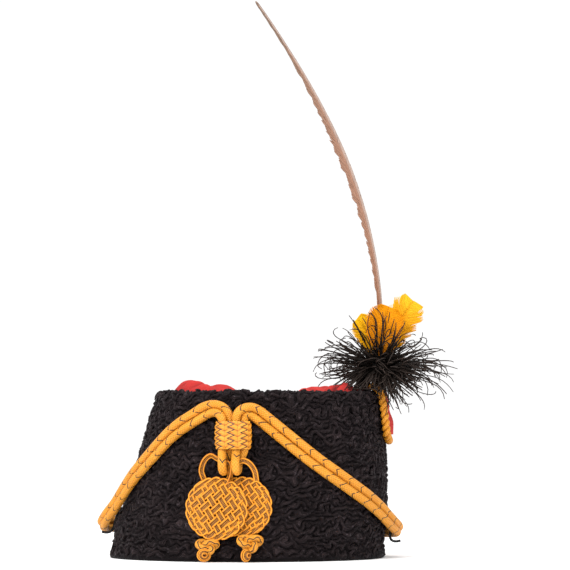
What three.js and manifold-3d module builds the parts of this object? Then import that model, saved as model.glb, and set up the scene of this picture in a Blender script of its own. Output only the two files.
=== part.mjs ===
// A busby: a slanted oval wall of black curly lamb, a red cloth crown with its bag, a doubled yellow cap
// line with slide, flounders and tassels, and a plume. Sizes are in millimetres, X to the wearer's left,
// Y to the back, Z up. The fur's rim stands on Z = 0. Angles round the hat start at the front and grow
// towards the wearer's left.
import * as THREE from 'three';
import { mergeVertices } from 'three/addons/utils/BufferGeometryUtils.js';
import Module from 'manifold-3d';

const kernel = await Module();
kernel.setup();

const { degToRad, lerp, smoothstep, clamp } = THREE.MathUtils;
const gap = 0.35;

// Driving dimensions
const hat = {
  height: 132, wall: 9, halfWidth: 110, halfDepth: 92, topHalfWidth: 89.5, topHalfDepth: 74, topShift: 17.6,
  belly: 1.2, rimRadius: 4.3, footRadius: 2, lump: 1.6,
};
const crown = { cloth: 2, tuck: 22, level: 127, sag: 4, edge: 14 };
const tail = { middle: -4, halfWidth: 20, bottom: 93, round: 11, thickness: 3, bulge: 3.2 };
const bagCord = { radius: 3.4 };
const line = { radius: 3.35, pitch: 6.9 };
const slide = {
  x: -8.2, yaw: 12, bottom: 86.5, top: 108.2, straight: 5.8, radius: 7.8, bore: 6.9, out: 8.5, bulge: 0.5, lip: 0.6,
};
const strand = { pitch: 5.4, stagger: 2.1 };
const bight = { frontOut: 15, rearOut: 4.2, bottom: 69.6, leftAcross: -7.2, rightAcross: 3.2 };
const weave = {
  across: 7, along: 6, turn: -9, halfThickness: 1.7, edgeShare: 0.55, relief: 0.5, scallop: 0.6,
};
const loopRadius = 1.2;
const plume = {
  x: 104, y: tail.middle, lean: 5, postRadius: 1.5, sunk: 16, seat: 4.3, cup: 5.4, cupTop: 9, postTop: 16,
  head: 7, headHeight: 18,
};
const wire = 1;

const cloth = {
  fur: 0x231e20, red: 0xd23232, gold: 0xf5a83c, gimp: 0xd9922c, black: 0x17140f, wire: 0x1b1b1d,
  petal: 0xf8b414, orange: 0xf59a0a, light: 0xfac83c, brown: 0xab7c62,
};

// The hat's outline at a height: where its middle lies and its half sizes
function oval(height) {
  const share = height / hat.height;
  const swell = hat.belly * Math.sin(Math.PI * clamp(share, 0, 1));
  return {
    middle: lerp(0, hat.topShift, share) + swell,
    width: lerp(hat.halfWidth, hat.topHalfWidth, share) + swell,
    depth: lerp(hat.halfDepth, hat.topHalfDepth, share) + swell,
  };
}

// A point beside the fur's face, at an angle round the hat, or at a place across its front
function beside(angle, height, out) {
  const { middle, width, depth } = oval(height);
  const turn = degToRad(angle);
  return new THREE.Vector3(middle + (width + out) * Math.sin(turn), -(depth + out) * Math.cos(turn), height);
}
function infront(x, height, out) {
  const { middle, width, depth } = oval(height);
  const share = clamp((x - middle) / width, -0.98, 0.98);
  return new THREE.Vector3(x, -depth * Math.sqrt(1 - share * share) - out, height);
}

// A point on the flat stretch where the slide lies: across it, up it and out from the fur under its middle
function plate(across, height, out) {
  const yaw = degToRad(slide.yaw);
  const base = infront(slide.x, height, 0);
  base.x += across * Math.cos(yaw) - out * Math.sin(yaw);
  base.y -= across * Math.sin(yaw) + out * Math.cos(yaw);
  return base;
}

// A closed skin through rings of points: joined end to end, or drawn to a point at each end
function skin(rings, joined = false) {
  const count = rings[0].length;
  const points = rings.flat();
  const faces = [];
  const rows = joined ? rings.length : rings.length - 1;
  for (let row = 0; row < rows; row++) {
    const here = row * count;
    const next = ((row + 1) % rings.length) * count;
    for (let i = 0; i < count; i++) {
      const j = (i + 1) % count;
      faces.push(here + i, here + j, next + j, here + i, next + j, next + i);
    }
  }
  if (!joined) {
    const first = points.length;
    points.push(centreOf(rings[0]), centreOf(rings.at(-1)));
    const end = (rings.length - 1) * count;
    for (let i = 0; i < count; i++) {
      const j = (i + 1) % count;
      faces.push(first, j, i, first + 1, end + i, end + j);
    }
  }
  const geometry = new THREE.BufferGeometry().setFromPoints(points);
  geometry.setIndex(signedVolume(points, faces) < 0 ? faces.reverse() : faces);
  return geometry;
}
function centreOf(ring) {
  return ring.reduce((sum, point) => sum.add(point), new THREE.Vector3()).divideScalar(ring.length);
}
function signedVolume(points, faces) {
  let volume = 0;
  const side = new THREE.Vector3();
  for (let i = 0; i < faces.length; i += 3) {
    side.crossVectors(points[faces[i + 1]], points[faces[i + 2]]);
    volume += points[faces[i]].dot(side);
  }
  return volume;
}

// A round tube along a route. Its steps are shared evenly between the route's points, so close points
// bend well.
class Route extends THREE.CatmullRomCurve3 {
  getUtoTmapping(share) {
    return share;
  }
}
function tube(points, radius, sides, stepsEach) {
  const corners = around(sides, (turn) => new THREE.Vector2(radius * Math.cos(turn), radius * Math.sin(turn)));
  const steps = (points.length - 1) * stepsEach;
  return new THREE.ExtrudeGeometry(new THREE.Shape(corners), { steps, extrudePath: new Route(points) });
}
function around(count, make) {
  return Array.from({ length: count }, (_, i) => make((i / count) * 2 * Math.PI, i));
}

// Booleans
function solid(geometry) {
  const bare = new THREE.BufferGeometry();
  bare.setAttribute('position', geometry.attributes.position);
  bare.setIndex(geometry.index);
  const merged = mergeVertices(bare, 1e-4);
  const vertProperties = new Float32Array(merged.attributes.position.array);
  const triVerts = new Uint32Array(merged.index.array);
  return new kernel.Manifold(new kernel.Mesh({ numProp: 3, vertProperties, triVerts }));
}
function surface(body) {
  const mesh = body.getMesh();
  const geometry = new THREE.BufferGeometry();
  geometry.setAttribute('position', new THREE.BufferAttribute(mesh.vertProperties, 3));
  geometry.setIndex(new THREE.BufferAttribute(mesh.triVerts, 1));
  return geometry;
}
function fuse(geometries) {
  return geometries.map(solid).reduce((sum, body) => sum.add(body));
}
function largest(body) {
  return body.decompose().reduce((best, part) => (part.volume() > best.volume() ? part : best));
}

const group = new THREE.Group();
function piece(name, geometry, color, roughness = 0.85, metalness = 0) {
  const mesh = new THREE.Mesh(geometry, new THREE.MeshStandardMaterial({ color, roughness, metalness }));
  mesh.name = name;
  group.add(mesh);
}

// Fur wall: a section of a rounded rim, two slanted faces and a flat foot, carried round the oval.
// Broad low lumps sink into the outer face, never past its outline.
function furSection() {
  const rows = [];
  const row = (out, height, lump = 0) => rows.push({ out, height, lump });
  const bulge = (centreOut, centreHeight, radius, from, to, steps) => {
    for (let i = 0; i <= steps; i++) {
      const turn = degToRad(lerp(from, to, i / steps));
      row(centreOut + radius * Math.cos(turn), centreHeight + radius * Math.sin(turn));
    }
  };
  const { footRadius, height, rimRadius, wall } = hat;
  bulge(-footRadius, footRadius, footRadius, -90, 0, 2);
  [1, 2, 3, 4, 5].forEach((sixth) => row(0, (height * sixth) / 6, 1));
  bulge(-wall / 2, height - rimRadius, wall / 2, 0, 180, 6);
  [0.8, 0.4].forEach((share) => row(-wall, height * share));
  bulge(-wall + footRadius, footRadius, footRadius, 180, 270, 1);
  return rows;
}
function furWall() {
  const rings = furSection().map(({ out, height, lump }) => around(56, (turn) => {
    const ripple = 0.5 + 0.25 * Math.sin(5 * turn + height / 9) + 0.25 * Math.sin(9 * turn - height / 7);
    return beside(THREE.MathUtils.radToDeg(turn), height, out - lump * hat.lump * ripple);
  }));
  return skin(rings, true);
}

// Crown: cloth over the top, puffed up near the rim and sagging in the middle, tucked down inside the wall
const puffs = [
  { x: -43, y: -12, spread: 22, rise: 14.5 },
  { x: 80, y: -20, spread: 21, rise: 13.5 },
  { x: -22, y: 36, spread: 26, rise: 11 },
  { x: 62, y: 36, spread: 24, rise: 11 },
];
function crownLevel(x, y) {
  const middle = Math.hypot(x - hat.topShift, y);
  const base = crown.level - crown.sag * Math.exp(-((middle / 40) ** 2));
  return puffs.reduce((level, puff) => (
    level + puff.rise * Math.exp(-(((x - puff.x) ** 2 + (y - puff.y) ** 2) / puff.spread ** 2))
  ), base);
}
function crownRing(reach, drop, inset, turns) {
  return around(turns, (turn) => {
    const edge = beside(THREE.MathUtils.radToDeg(turn), hat.height - drop, -hat.wall - 2 * gap - inset);
    const { middle } = oval(hat.height - drop);
    const x = middle + (edge.x - middle) * reach;
    const y = edge.y * reach;
    const level = reach < 1 ? lerp(crownLevel(x, y), hat.height - 5, reach ** crown.edge) : edge.z;
    return new THREE.Vector3(x, y, level - inset);
  });
}
function crownCloth() {
  const reaches = [0.08, 0.3, 0.5, 0.68, 0.82, 0.93];
  const drops = [8, crown.tuck];
  const outer = [
    ...reaches.map((reach) => crownRing(reach, 4, 0, 40)),
    ...drops.map((drop) => crownRing(1, drop, 0, 40)),
  ];
  const inner = [
    ...drops.toReversed().map((drop) => crownRing(1, drop - crown.cloth, crown.cloth, 40)),
    ...reaches.toReversed().map((reach) => crownRing(reach, 4, crown.cloth, 40)),
  ];
  return skin([...outer, ...inner]);
}

// Tail of the bag: flat doubled cloth from the crown over the rim and down the wearer's left, round at its end
const tailSpine = [
  { x: 80, height: 131 }, { x: 90, height: 134.6 }, { x: 98, height: 135.9 }, { x: 105.4, height: 135.6 },
  { x: 110.2, height: 132 }, { x: 111.4, height: 126 }, { x: 111.8, height: 120 }, { x: 112.2, height: 113 },
  { x: 112.8, height: 106 }, { x: 113.3, height: 101 }, { x: 113.6, height: 97.5 },
];
function tailHalfWidth(height, reach) {
  const low = clamp((tail.bottom + tail.round - height) / (tail.round - bagCord.radius - gap), 0, 0.97);
  return reach * Math.sqrt(1 - low * low);
}
function tailCloth() {
  const reach = tail.halfWidth - bagCord.radius - gap;
  const route = new Route(tailSpine.map(({ x, height }) => new THREE.Vector3(x, 0, height)));
  const rings = [];
  const steps = 14;
  for (let i = 0; i <= steps; i++) {
    const spine = route.getPoint(i / steps);
    const along = route.getTangent(i / steps);
    const away = new THREE.Vector3(-along.z, 0, along.x);
    const half = tailHalfWidth(spine.z, reach);
    const hang = smoothstep(i / steps, 0.45, 0.8);
    const ring = [];
    for (const [share, outer] of [[-1, 1], [-0.5, 1], [0, 1], [0.5, 1], [1, 1], [1, 0], [0, 0], [-1, 0]]) {
      const puff = tail.bulge * hang * (1 - share * share);
      const side = share * half;
      const back = hang * (tail.middle + side) ** 2 / 130;
      const point = spine.clone().addScaledVector(away, outer ? puff : -tail.thickness);
      ring.push(new THREE.Vector3(point.x - back, tail.middle + side, point.z));
    }
    rings.push(ring);
  }
  return skin(rings);
}

// Twisted cord round the tail's edge: both legs start on the rim's inside and meet in the round end
const cordLegs = [
  { x: 89, height: 136.4 }, { x: 96, height: 136.6 }, { x: 102.5, height: 135 }, { x: 106.6, height: 130 },
  { x: 108.2, height: 122 }, { x: 109.4, height: 113 }, { x: 110.3, height: 105 },
];
function bagEdge() {
  const shape = (side) => cordLegs.map(({ x, height }) => {
    const y = tail.middle + side * tail.halfWidth;
    const swing = side > 0 ? 2.2 : -0.4;
    return new THREE.Vector3(x + swing, y, height);
  });
  const foot = [];
  for (const turn of [-60, -30, 0, 30, 60]) {
    const y = tail.middle + tail.halfWidth * Math.sin(degToRad(turn));
    const height = tail.bottom + tail.round * (1 - Math.cos(degToRad(turn)));
    foot.push(new THREE.Vector3(112.9 - (y * y) / 200, y, height));
  }
  return tube([...shape(-1), ...foot, ...shape(1).reverse()], bagCord.radius, 7, 2);
}

// Cap line. The routes are the middle of the doubled cord: from the slide to each side hook, and round the
// back from the left hook to the right one. Turn tells on which side of the way its upper strand runs.
const routes = {
  left: { turn: -1, fromSlide: true, rows: [
    { angle: -18.6, height: 113, out: 8.4 }, { angle: -21.3, height: 116.6, out: 6.8 },
    { angle: -25.3, height: 118, out: 5.4 }, { angle: -29.6, height: 116.2, out: 4.5 },
    { angle: -35, height: 111, out: 4 }, { angle: -41, height: 105.2, out: 4 },
    { angle: -47.3, height: 97.6, out: 4 }, { angle: -53.8, height: 87.6, out: 4 },
    { angle: -60.9, height: 76.6, out: 4.2 }, { angle: -69.3, height: 64.5, out: 5 },
    { angle: -76.5, height: 52.5, out: 6.8 }, { angle: -82.5, height: 41.5, out: 8.6 },
    { angle: -88.5, height: 32, out: 9.6 }, { angle: -95, height: 27, out: 9 },
  ] },
  right: { turn: 1, fromSlide: true, rows: [
    { angle: -11.2, height: 112.4, out: 8.2 }, { angle: -9.8, height: 115.2, out: 6.8 },
    { angle: -7.2, height: 115.8, out: 5.4 }, { angle: -4.1, height: 113.4, out: 4.5 },
    { angle: -0.6, height: 109.2, out: 4 }, { angle: 8.8, height: 97.1, out: 4 },
    { angle: 17.4, height: 85.9, out: 4 }, { angle: 26.2, height: 75.1, out: 4 },
    { angle: 35.4, height: 65.3, out: 4 }, { angle: 45.7, height: 55.1, out: 4 },
    { angle: 53.8, height: 47.9, out: 4.2 }, { angle: 64.1, height: 38.6, out: 5 },
    { angle: 71.3, height: 31.8, out: 6.2 }, { angle: 80, height: 25.6, out: 8 },
    { angle: 88, height: 22.5, out: 9 }, { angle: 95, height: 21, out: 8.6 },
  ] },
  back: { turn: 1, fromSlide: false, rows: [
    { angle: 104, height: 21, out: 6 }, { angle: 120, height: 21.5, out: 4 },
    { angle: 137, height: 22, out: 4 }, { angle: 154, height: 22.5, out: 4 },
    { angle: 171, height: 23, out: 4 }, { angle: 188, height: 23.5, out: 4 },
    { angle: 205, height: 24, out: 4 }, { angle: 222, height: 24.5, out: 4 },
    { angle: 239, height: 25, out: 4 }, { angle: 255, height: 25.5, out: 6.2 },
  ] },
};
// One strand of a route, 1 the upper and -1 the lower. It is moved sideways along the fur's face, and near
// the slide the two strands draw closer and stand one before the other, as they do inside it.
function strandOf({ turn, fromSlide, rows }, side) {
  const route = new THREE.CatmullRomCurve3(rows.map(({ angle, height, out }) => beside(angle, height, out)));
  return rows.map(({ angle, height, out }, i) => {
    const near = fromSlide ? Math.max(0, 1 - i / 3) : 0;
    const away = beside(angle, height, out + 10).sub(beside(angle, height, out)).normalize();
    const across = away.clone().cross(route.getTangent(i / (rows.length - 1))).normalize();
    const reach = (side * turn * lerp(line.pitch, strand.pitch, near)) / 2;
    return beside(angle, height, out)
      .addScaledVector(across, reach)
      .addScaledVector(away, side * turn * strand.stagger * near);
  });
}
// A strand's way through the slide. Places 0 to 3 run from left to right, and 0 and 2 lie in front.
function throughSlide(place) {
  const across = (place - 1.5) * strand.pitch;
  const out = slide.out + (place % 2 === 0 ? strand.stagger : -strand.stagger);
  const heights = [slide.top + 0.5, slide.top - 6, slide.bottom + 5, slide.bottom - 1];
  return heights.map((height) => plate(across, height, out));
}
// The bend under the slide: down in front, round, and up behind
function bendUnder(across) {
  const radius = (bight.frontOut - bight.rearOut) / 2;
  const middle = (bight.frontOut + bight.rearOut) / 2;
  const centre = bight.bottom + radius;
  const turns = [0, 45, 90, 135, 180].map((turn) => degToRad(turn));
  return turns.map((turn) => plate(across, centre - radius * Math.sin(turn), middle + radius * Math.cos(turn)));
}
function capLine() {
  const { left, right, back } = routes;
  const leftBend = bendUnder(bight.leftAcross);
  const rightBend = bendUnder(bight.rightAcross);
  const points = [
    ...throughSlide(1).slice(0, 2).reverse(),
    ...strandOf(left, 1), ...strandOf(back, 1).reverse(), ...strandOf(right, 1).reverse(),
    ...throughSlide(2), ...rightBend, ...throughSlide(3).reverse(),
    ...strandOf(right, -1), ...strandOf(back, -1), ...strandOf(left, -1).reverse(),
    ...throughSlide(0), ...leftBend, ...throughSlide(1).slice(2).reverse(),
  ];
  return tube(points, line.radius, 7, 2);
}

// Slide: a plaited ring of a long oval section, hollow for the four strands
function slideRing() {
  const section = (radius, height) => around(24, (turn) => {
    const across = Math.sign(Math.cos(turn)) * slide.straight * Math.min(1, Math.abs(Math.cos(turn)) * 3);
    return plate(across + radius * Math.cos(turn), height, slide.out + radius * Math.sin(turn));
  });
  const rows = 6;
  const rings = [];
  for (let i = 0; i <= rows; i++) {
    const share = i / rows;
    const swell = slide.bulge * Math.sin(Math.PI * share) - slide.lip * (2 * share - 1) ** 6;
    rings.push(section(slide.radius + swell, lerp(slide.bottom, slide.top, share)));
  }
  rings.push(section(slide.bore, slide.top));
  rings.push(section(slide.bore, slide.bottom));
  return skin(rings, true);
}

// Flounders: a billiard weave of one gimp braid in a round mat, laid on the fur. A loop's rows are the place
// across the front, the height and how far out from the fur; its ends start on the mat and its middle hangs
// in a bight.
const flounders = [
  { name: 'flounder_left', x: -22.8, height: 41, radius: 24.3, seat: 2.7, overlap: 4.9,
    loop: [[-31, 60, 3.4], [-34.5, 70, 6], [-32, 78.6, 8.2], [-27.6, 81.6, 8.6], [-22.8, 79.4, 9],
      [-17.6, 76.4, 9.4], [-13.4, 75.8, 10.2], [-12.3, 73, 10.9], [-12.8, 66.6, 9.8], [-15.5, 60, 7.6]] },
  { name: 'flounder_right', x: -3, height: 42.4, radius: 23.2, seat: 2.7, overlap: 0,
    loop: [[8, 62, 3], [6.5, 70, 5], [2, 76.4, 8], [-2.5, 77.8, 9.2], [-7, 76.6, 9.4], [-10.8, 75.6, 8.6],
      [-12.1, 72, 7.6], [-12.2, 66, 3.8], [-12, 60, 2.8]] },
];
function matPoint(flounder, across, along, side) {
  const { x, height, radius, seat, overlap } = flounder;
  const [a, b] = [(2 * across) / weave.across - 1, (2 * along) / weave.along - 1];
  const wall = Math.max(Math.abs(a), Math.abs(b)) > 0.999;
  const crossing = Math.round(2 * across + 2 * along) % 2 !== 0;
  const reach = radius + (wall ? (crossing ? weave.scallop : -weave.scallop) : 0);
  const disc = new THREE.Vector2(a * Math.sqrt(1 - (b * b) / 2), b * Math.sqrt(1 - (a * a) / 2));
  disc.multiplyScalar(reach).rotateAround(new THREE.Vector2(), degToRad(weave.turn));
  const relief = crossing ? weave.relief : -weave.relief;
  const thick = wall ? weave.edgeShare * weave.halfThickness : weave.halfThickness + relief;
  const lift = seat + overlap * smoothstep(disc.x, -0.85 * radius, -0.25 * radius);
  return infront(x + disc.x, height + disc.y, lift + side * thick);
}
function mat(flounder) {
  const [columns, rows] = [2 * weave.across, 2 * weave.along];
  const points = [];
  const faces = [];
  const index = (i, j, side) => (side * (rows + 1) + j) * (columns + 1) + i;
  for (const side of [-1, 1]) {
    for (let j = 0; j <= rows; j++) {
      for (let i = 0; i <= columns; i++) points.push(matPoint(flounder, i / 2, j / 2, side));
    }
  }
  const quad = (a, b, c, d) => faces.push(a, b, c, a, c, d);
  for (let j = 0; j < rows; j++) {
    for (let i = 0; i < columns; i++) {
      quad(index(i, j, 1), index(i + 1, j, 1), index(i + 1, j + 1, 1), index(i, j + 1, 1));
      quad(index(i, j, 0), index(i, j + 1, 0), index(i + 1, j + 1, 0), index(i + 1, j, 0));
    }
  }
  for (let i = 0; i < columns; i++) {
    quad(index(i, 0, 0), index(i + 1, 0, 0), index(i + 1, 0, 1), index(i, 0, 1));
    quad(index(i + 1, rows, 0), index(i, rows, 0), index(i, rows, 1), index(i + 1, rows, 1));
  }
  for (let j = 0; j < rows; j++) {
    quad(index(0, j + 1, 0), index(0, j, 0), index(0, j, 1), index(0, j + 1, 1));
    quad(index(columns, j, 0), index(columns, j + 1, 0), index(columns, j + 1, 1), index(columns, j, 1));
  }
  const geometry = new THREE.BufferGeometry().setFromPoints(points);
  geometry.setIndex(signedVolume(points, faces) < 0 ? faces.reverse() : faces);
  return geometry;
}
function flounderBody(flounder) {
  const ends = flounder.loop.length - 2;
  const yaw = degToRad(slide.yaw);
  const route = flounder.loop.map(([x, height, out], i) => {
    const onMat = i < 2 || i >= ends;
    return onMat ? infront(x, height, out) : plate(x - slide.x + out * Math.sin(yaw), height, out);
  });
  return surface(fuse([mat(flounder), tube(route, loopRadius, 6, 2)]));
}

// Tassels: a lobed knot right under each flounder, and a small loop under the knot
const tassels = [
  { side: 'left', x: -29.5, endX: -32, top: 16.5, knotHeight: 8.6, halfWidth: 8.8 },
  { side: 'right', x: 3.2, endX: 0.4, top: 19.8, knotHeight: 10.2, halfWidth: 9.6 },
];
const tassel = {
  halfDepth: 5.6, lobes: 5, lobe: 0.8, core: 0.92, steepest: 72, floor: 0.5, loopDepth: 1.9, loopStretch: 1.35,
  loopOut: 7.6, seat: 0.5,
};
function knot({ x, top, knotHeight, halfWidth }) {
  const half = knotHeight / 2;
  const rings = [];
  const { steepest, lobe, lobes, seat, halfDepth, core } = tassel;
  for (const slope of [-steepest, -40, 0, 40, steepest]) {
    const height = top - half + (half * Math.sin(degToRad(slope))) / Math.sin(degToRad(steepest));
    rings.push(around(16, (turn) => {
      const ripple = 1 + (lobe / halfWidth) * Math.cos(lobes * turn);
      const reach = Math.cos(degToRad(slope)) * ripple;
      const out = seat + halfDepth + lobe + halfDepth * reach * Math.sin(turn);
      return infront(x + halfWidth * core * reach * Math.cos(turn), height, out);
    }));
  }
  return skin(rings);
}
function endLoop({ endX, top, knotHeight }) {
  const head = top - knotHeight - gap;
  const half = (head - tassel.floor) / 2;
  const loop = new THREE.TorusGeometry(half - tassel.loopDepth, tassel.loopDepth, 6, 12);
  const seat = infront(endX, half + tassel.floor, tassel.loopOut);
  return loop.scale(tassel.loopStretch, 1, 1).rotateX(Math.PI / 2).translate(seat.x, seat.y, seat.z);
}

// Side hooks: a wire out of the wall above the cord, down behind it, and out under its lower strand.
// Middle is the height of the doubled cord at the hook, and out is how far its middle stands off the fur.
const hooks = [
  { name: 'hook_left', angle: -92, middle: 28.6, out: 9.2 },
  { name: 'hook_right', angle: 91, middle: 21.6, out: 8.8 },
];
function hookRoute({ angle, middle, out }) {
  const behind = out - line.radius - wire - 2.5 * gap;
  const under = middle - line.pitch / 2 - line.radius - wire - gap - 1;
  const rows = [
    [middle + 11, -5], [middle + 11, -1], [middle + 9, behind * 0.8], [middle, behind], [under + 2.5, behind],
    [under + 0.4, behind + 2], [under, out], [under + 0.6, out + 3],
  ];
  return rows.map(([height, away]) => beside(angle, height, away));
}

// Plume: the hidden post with its cup, the ostrich tuft, three short feathers and the long tail feather
const rimTop = new THREE.Vector3(plume.x, plume.y, hat.height);
const plumeUp = new THREE.Vector3(Math.sin(degToRad(plume.lean)), 0, Math.cos(degToRad(plume.lean)));
const headCentre = rimTop.clone().addScaledVector(plumeUp, plume.headHeight);
function post(margin) {
  const { sunk, seat, cup, cupTop, postTop } = plume;
  const r = plume.postRadius + margin;
  const shoulder = cupTop + 1.4 + margin;
  const outline = [
    [0, -sunk - margin], [r, -sunk - margin], [r, seat - margin], [cup - 0.8 + margin, seat - margin],
    [cup + margin, cupTop], [cup - 1.5, shoulder], [r, shoulder], [r, postTop + margin], [0, postTop + margin],
  ];
  const lathe = new THREE.LatheGeometry(outline.map(([x, y]) => new THREE.Vector2(x, y)), 12);
  lathe.rotateX(Math.PI / 2).rotateY(degToRad(plume.lean));
  return lathe.translate(rimTop.x, rimTop.y, rimTop.z);
}
// Feathers: half width along the blade by a table of [share of the length, half width]. Foot and bend are
// places beside the tuft's head, and cup is how far the blade's edges stand off its middle.
const petal = (half) => [
  [0, 0.9], [0.13, 0.9], [0.2, 0.3 * half], [0.35, 0.75 * half], [0.55, half],
  [0.75, 0.92 * half], [0.9, 0.6 * half], [1, 0.16 * half],
];
const bladeRing = [
  [-1, 0.5], [-0.5, 1], [0, 1], [0.5, 1], [1, 0.5], [1, -0.5], [0.5, -1], [0, -1], [-0.5, -1], [-1, -0.5],
];
const feathers = [
  { name: 'yellow_feather_left', foot: [-3, 1, 0], bend: [-2, -2, 26], tip: [88.5, -9, 191],
    half: petal(8.4), cup: 2, steps: 10, color: cloth.petal },
  { name: 'yellow_feather_centre', foot: [0, -3.6, 0], bend: [1, -8, 30], tip: [108, -15, 199.5],
    half: petal(12.4), cup: 3, steps: 10, color: cloth.orange },
  { name: 'yellow_feather_right', foot: [3.2, 0.6, 0], bend: [9, 0, 30], tip: [133.5, -8, 207.5],
    half: petal(12.8), cup: -3, steps: 10, color: cloth.light },
  { name: 'tail_quill', foot: [0, 3.8, 0], bend: [4, 6, 118], tip: [8.4, 1, 445.8],
    half: [
      [0, 1.1], [0.15, 1.2], [0.22, 1.8], [0.35, 2.2], [0.5, 3.2], [0.7, 3], [0.85, 2.2], [0.96, 1.2], [1, 0.4],
    ],
    cup: 0.4, steps: 24, color: cloth.brown },
];
function halfAt(table, share) {
  const next = Math.max(1, table.findIndex(([at]) => at >= share));
  const [[from, low], [to, high]] = [table[next - 1], table[next]];
  return lerp(low, high, (share - from) / (to - from));
}
function feather({ foot, bend, tip, half, cup, steps }, margin) {
  const start = headCentre.clone().add(new THREE.Vector3(...foot));
  const control = headCentre.clone().add(new THREE.Vector3(...bend));
  const spine = new THREE.QuadraticBezierCurve3(start, control, new THREE.Vector3(...tip));
  const rings = [];
  for (let i = 0; i <= steps; i++) {
    const share = i / steps;
    const along = spine.getTangent(share);
    const across = new THREE.Vector3(0, 1, 0).cross(along).normalize();
    const face = across.clone().cross(along).normalize();
    const width = halfAt(half, share) + margin;
    const thick = lerp(0.95, 0.55, smoothstep(share, 0.1, 0.3)) + margin;
    const hollow = cup * smoothstep(share, 0.12, 0.4);
    rings.push(bladeRing.map(([side, level]) => spine.getPoint(share)
      .addScaledVector(across, side * width)
      .addScaledVector(face, level * thick + hollow * side * side)));
  }
  return skin(rings);
}
// Locks of the tuft, in fans: how steeply they rise, the arc they fill, how many, their length and droop
const lockFans = [
  { rise: 46, from: -125, to: -55, count: 3, length: 42, droop: 8 },
  { rise: 46, from: 55, to: 125, count: 3, length: 42, droop: 8 },
  { rise: 22, from: -165, to: 180, count: 12, length: 45, droop: 10 },
  { rise: 2, from: -180, to: 150, count: 12, length: 40, droop: 3 },
  { rise: 8, from: -62, to: 62, count: 4, length: 58, droop: 14 },
  { rise: -24, from: -46, to: 46, count: 4, length: 40, droop: 16 },
];
function lock(azimuth, { rise, length, droop }) {
  const [turn, slope] = [degToRad(azimuth), degToRad(rise)];
  const flat = Math.cos(slope);
  const way = new THREE.Vector3(Math.cos(turn) * flat, Math.sin(turn) * flat, Math.sin(slope));
  const across = new THREE.Vector3(-Math.sin(turn), Math.cos(turn), 0);
  const rings = [];
  for (let i = 0; i <= 3; i++) {
    const share = i / 3;
    const centre = headCentre.clone().addScaledVector(way, length * share);
    centre.z -= droop * share * share;
    const radius = 3 * (1 - share) ** 0.7 + 0.45;
    const up = across.clone().cross(way);
    rings.push(around(4, (angle) => centre.clone()
      .addScaledVector(across, radius * Math.cos(angle))
      .addScaledVector(up, radius * Math.sin(angle))));
  }
  return skin(rings);
}
function tuft() {
  const head = new THREE.SphereGeometry(plume.head, 12, 8).translate(headCentre.x, headCentre.y, headCentre.z);
  const locks = lockFans.flatMap((fan) => Array.from({ length: fan.count }, (_, i) => (
    lock(lerp(fan.from, fan.to, i / (fan.count - 1)), fan)
  )));
  const cutters = [post(gap), ...feathers.map((row) => feather(row, gap))];
  return surface(largest(fuse([head, ...locks]).subtract(fuse(cutters))));
}

const postHole = solid(post(gap));
const hookTubes = hooks.map((hook) => ({ name: hook.name, route: hookRoute(hook) }));
const hookHoles = hookTubes.map(({ route }) => solid(tube(route.slice(0, 3), wire + gap, 8, 1)));
const drilled = hookHoles.reduce((body, hole) => body.subtract(hole), solid(furWall()).subtract(postHole));
piece('fur_body', surface(largest(drilled)), cloth.fur, 0.95);
piece('bag', surface(largest(fuse([crownCloth(), tailCloth()]).subtract(postHole))), cloth.red, 0.9);
piece('bag_cord', bagEdge(), cloth.gold, 0.7);
piece('cap_line', capLine(), cloth.gold, 0.65);
piece('slide', slideRing(), cloth.gold, 0.7);
flounders.forEach((flounder) => piece(flounder.name, flounderBody(flounder), cloth.gimp, 0.6));
for (const row of tassels) {
  piece(`tassel_knot_${row.side}`, knot(row), cloth.gold, 0.7);
  piece(`tassel_end_${row.side}`, endLoop(row), cloth.gold, 0.7);
}
hookTubes.forEach(({ name, route }) => piece(name, tube(route, wire, 6, 2), cloth.wire, 0.45, 0.8));
piece('plume_post', post(0), cloth.wire, 0.6);
piece('ostrich_tuft', tuft(), cloth.black, 0.9);
feathers.forEach((row) => piece(row.name, feather(row, 0), row.color, 0.75));

// The origin is the middle of the whole object's box, on the floor
const box = new THREE.Box3().setFromObject(group);
const middle = box.getCenter(new THREE.Vector3());
group.children.forEach((mesh) => mesh.position.set(-middle.x, -middle.y, -box.min.z));

export default group;
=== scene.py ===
"""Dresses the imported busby: curly fur, cloth, braided cords, woven flounders and the plume.

Shapes are worked out in millimetres in the hat's own frame (X to the wearer's left, Y to the back, Z up,
the fur's rim on Z = 0, angles in degrees from the front towards the wearer's left) as whole numpy arrays.
placed() turns them into metres in the shared frame.
"""

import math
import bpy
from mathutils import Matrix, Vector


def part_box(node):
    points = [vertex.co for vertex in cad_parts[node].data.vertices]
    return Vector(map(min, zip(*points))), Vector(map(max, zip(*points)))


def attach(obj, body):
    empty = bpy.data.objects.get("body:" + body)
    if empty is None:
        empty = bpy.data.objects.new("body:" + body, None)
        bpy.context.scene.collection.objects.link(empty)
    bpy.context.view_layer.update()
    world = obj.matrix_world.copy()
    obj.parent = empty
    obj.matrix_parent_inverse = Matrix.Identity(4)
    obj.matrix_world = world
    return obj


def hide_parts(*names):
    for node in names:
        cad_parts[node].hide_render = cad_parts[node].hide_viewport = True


bl_info = {
    "name": "Busby",
    "version": (1, 0, 0),
    "blender": (4, 5, 0),
    "location": "View3D > Sidebar > Busby",
    "description": "Fur, cloth, cords, flounders and plume of a busby round its fixed frame",
    "category": "Object",
}

import bpy
import numpy as np
from bpy.props import FloatProperty, FloatVectorProperty, IntProperty, PointerProperty
from bpy.types import Operator, Panel, PropertyGroup
from mathutils import Vector

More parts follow.
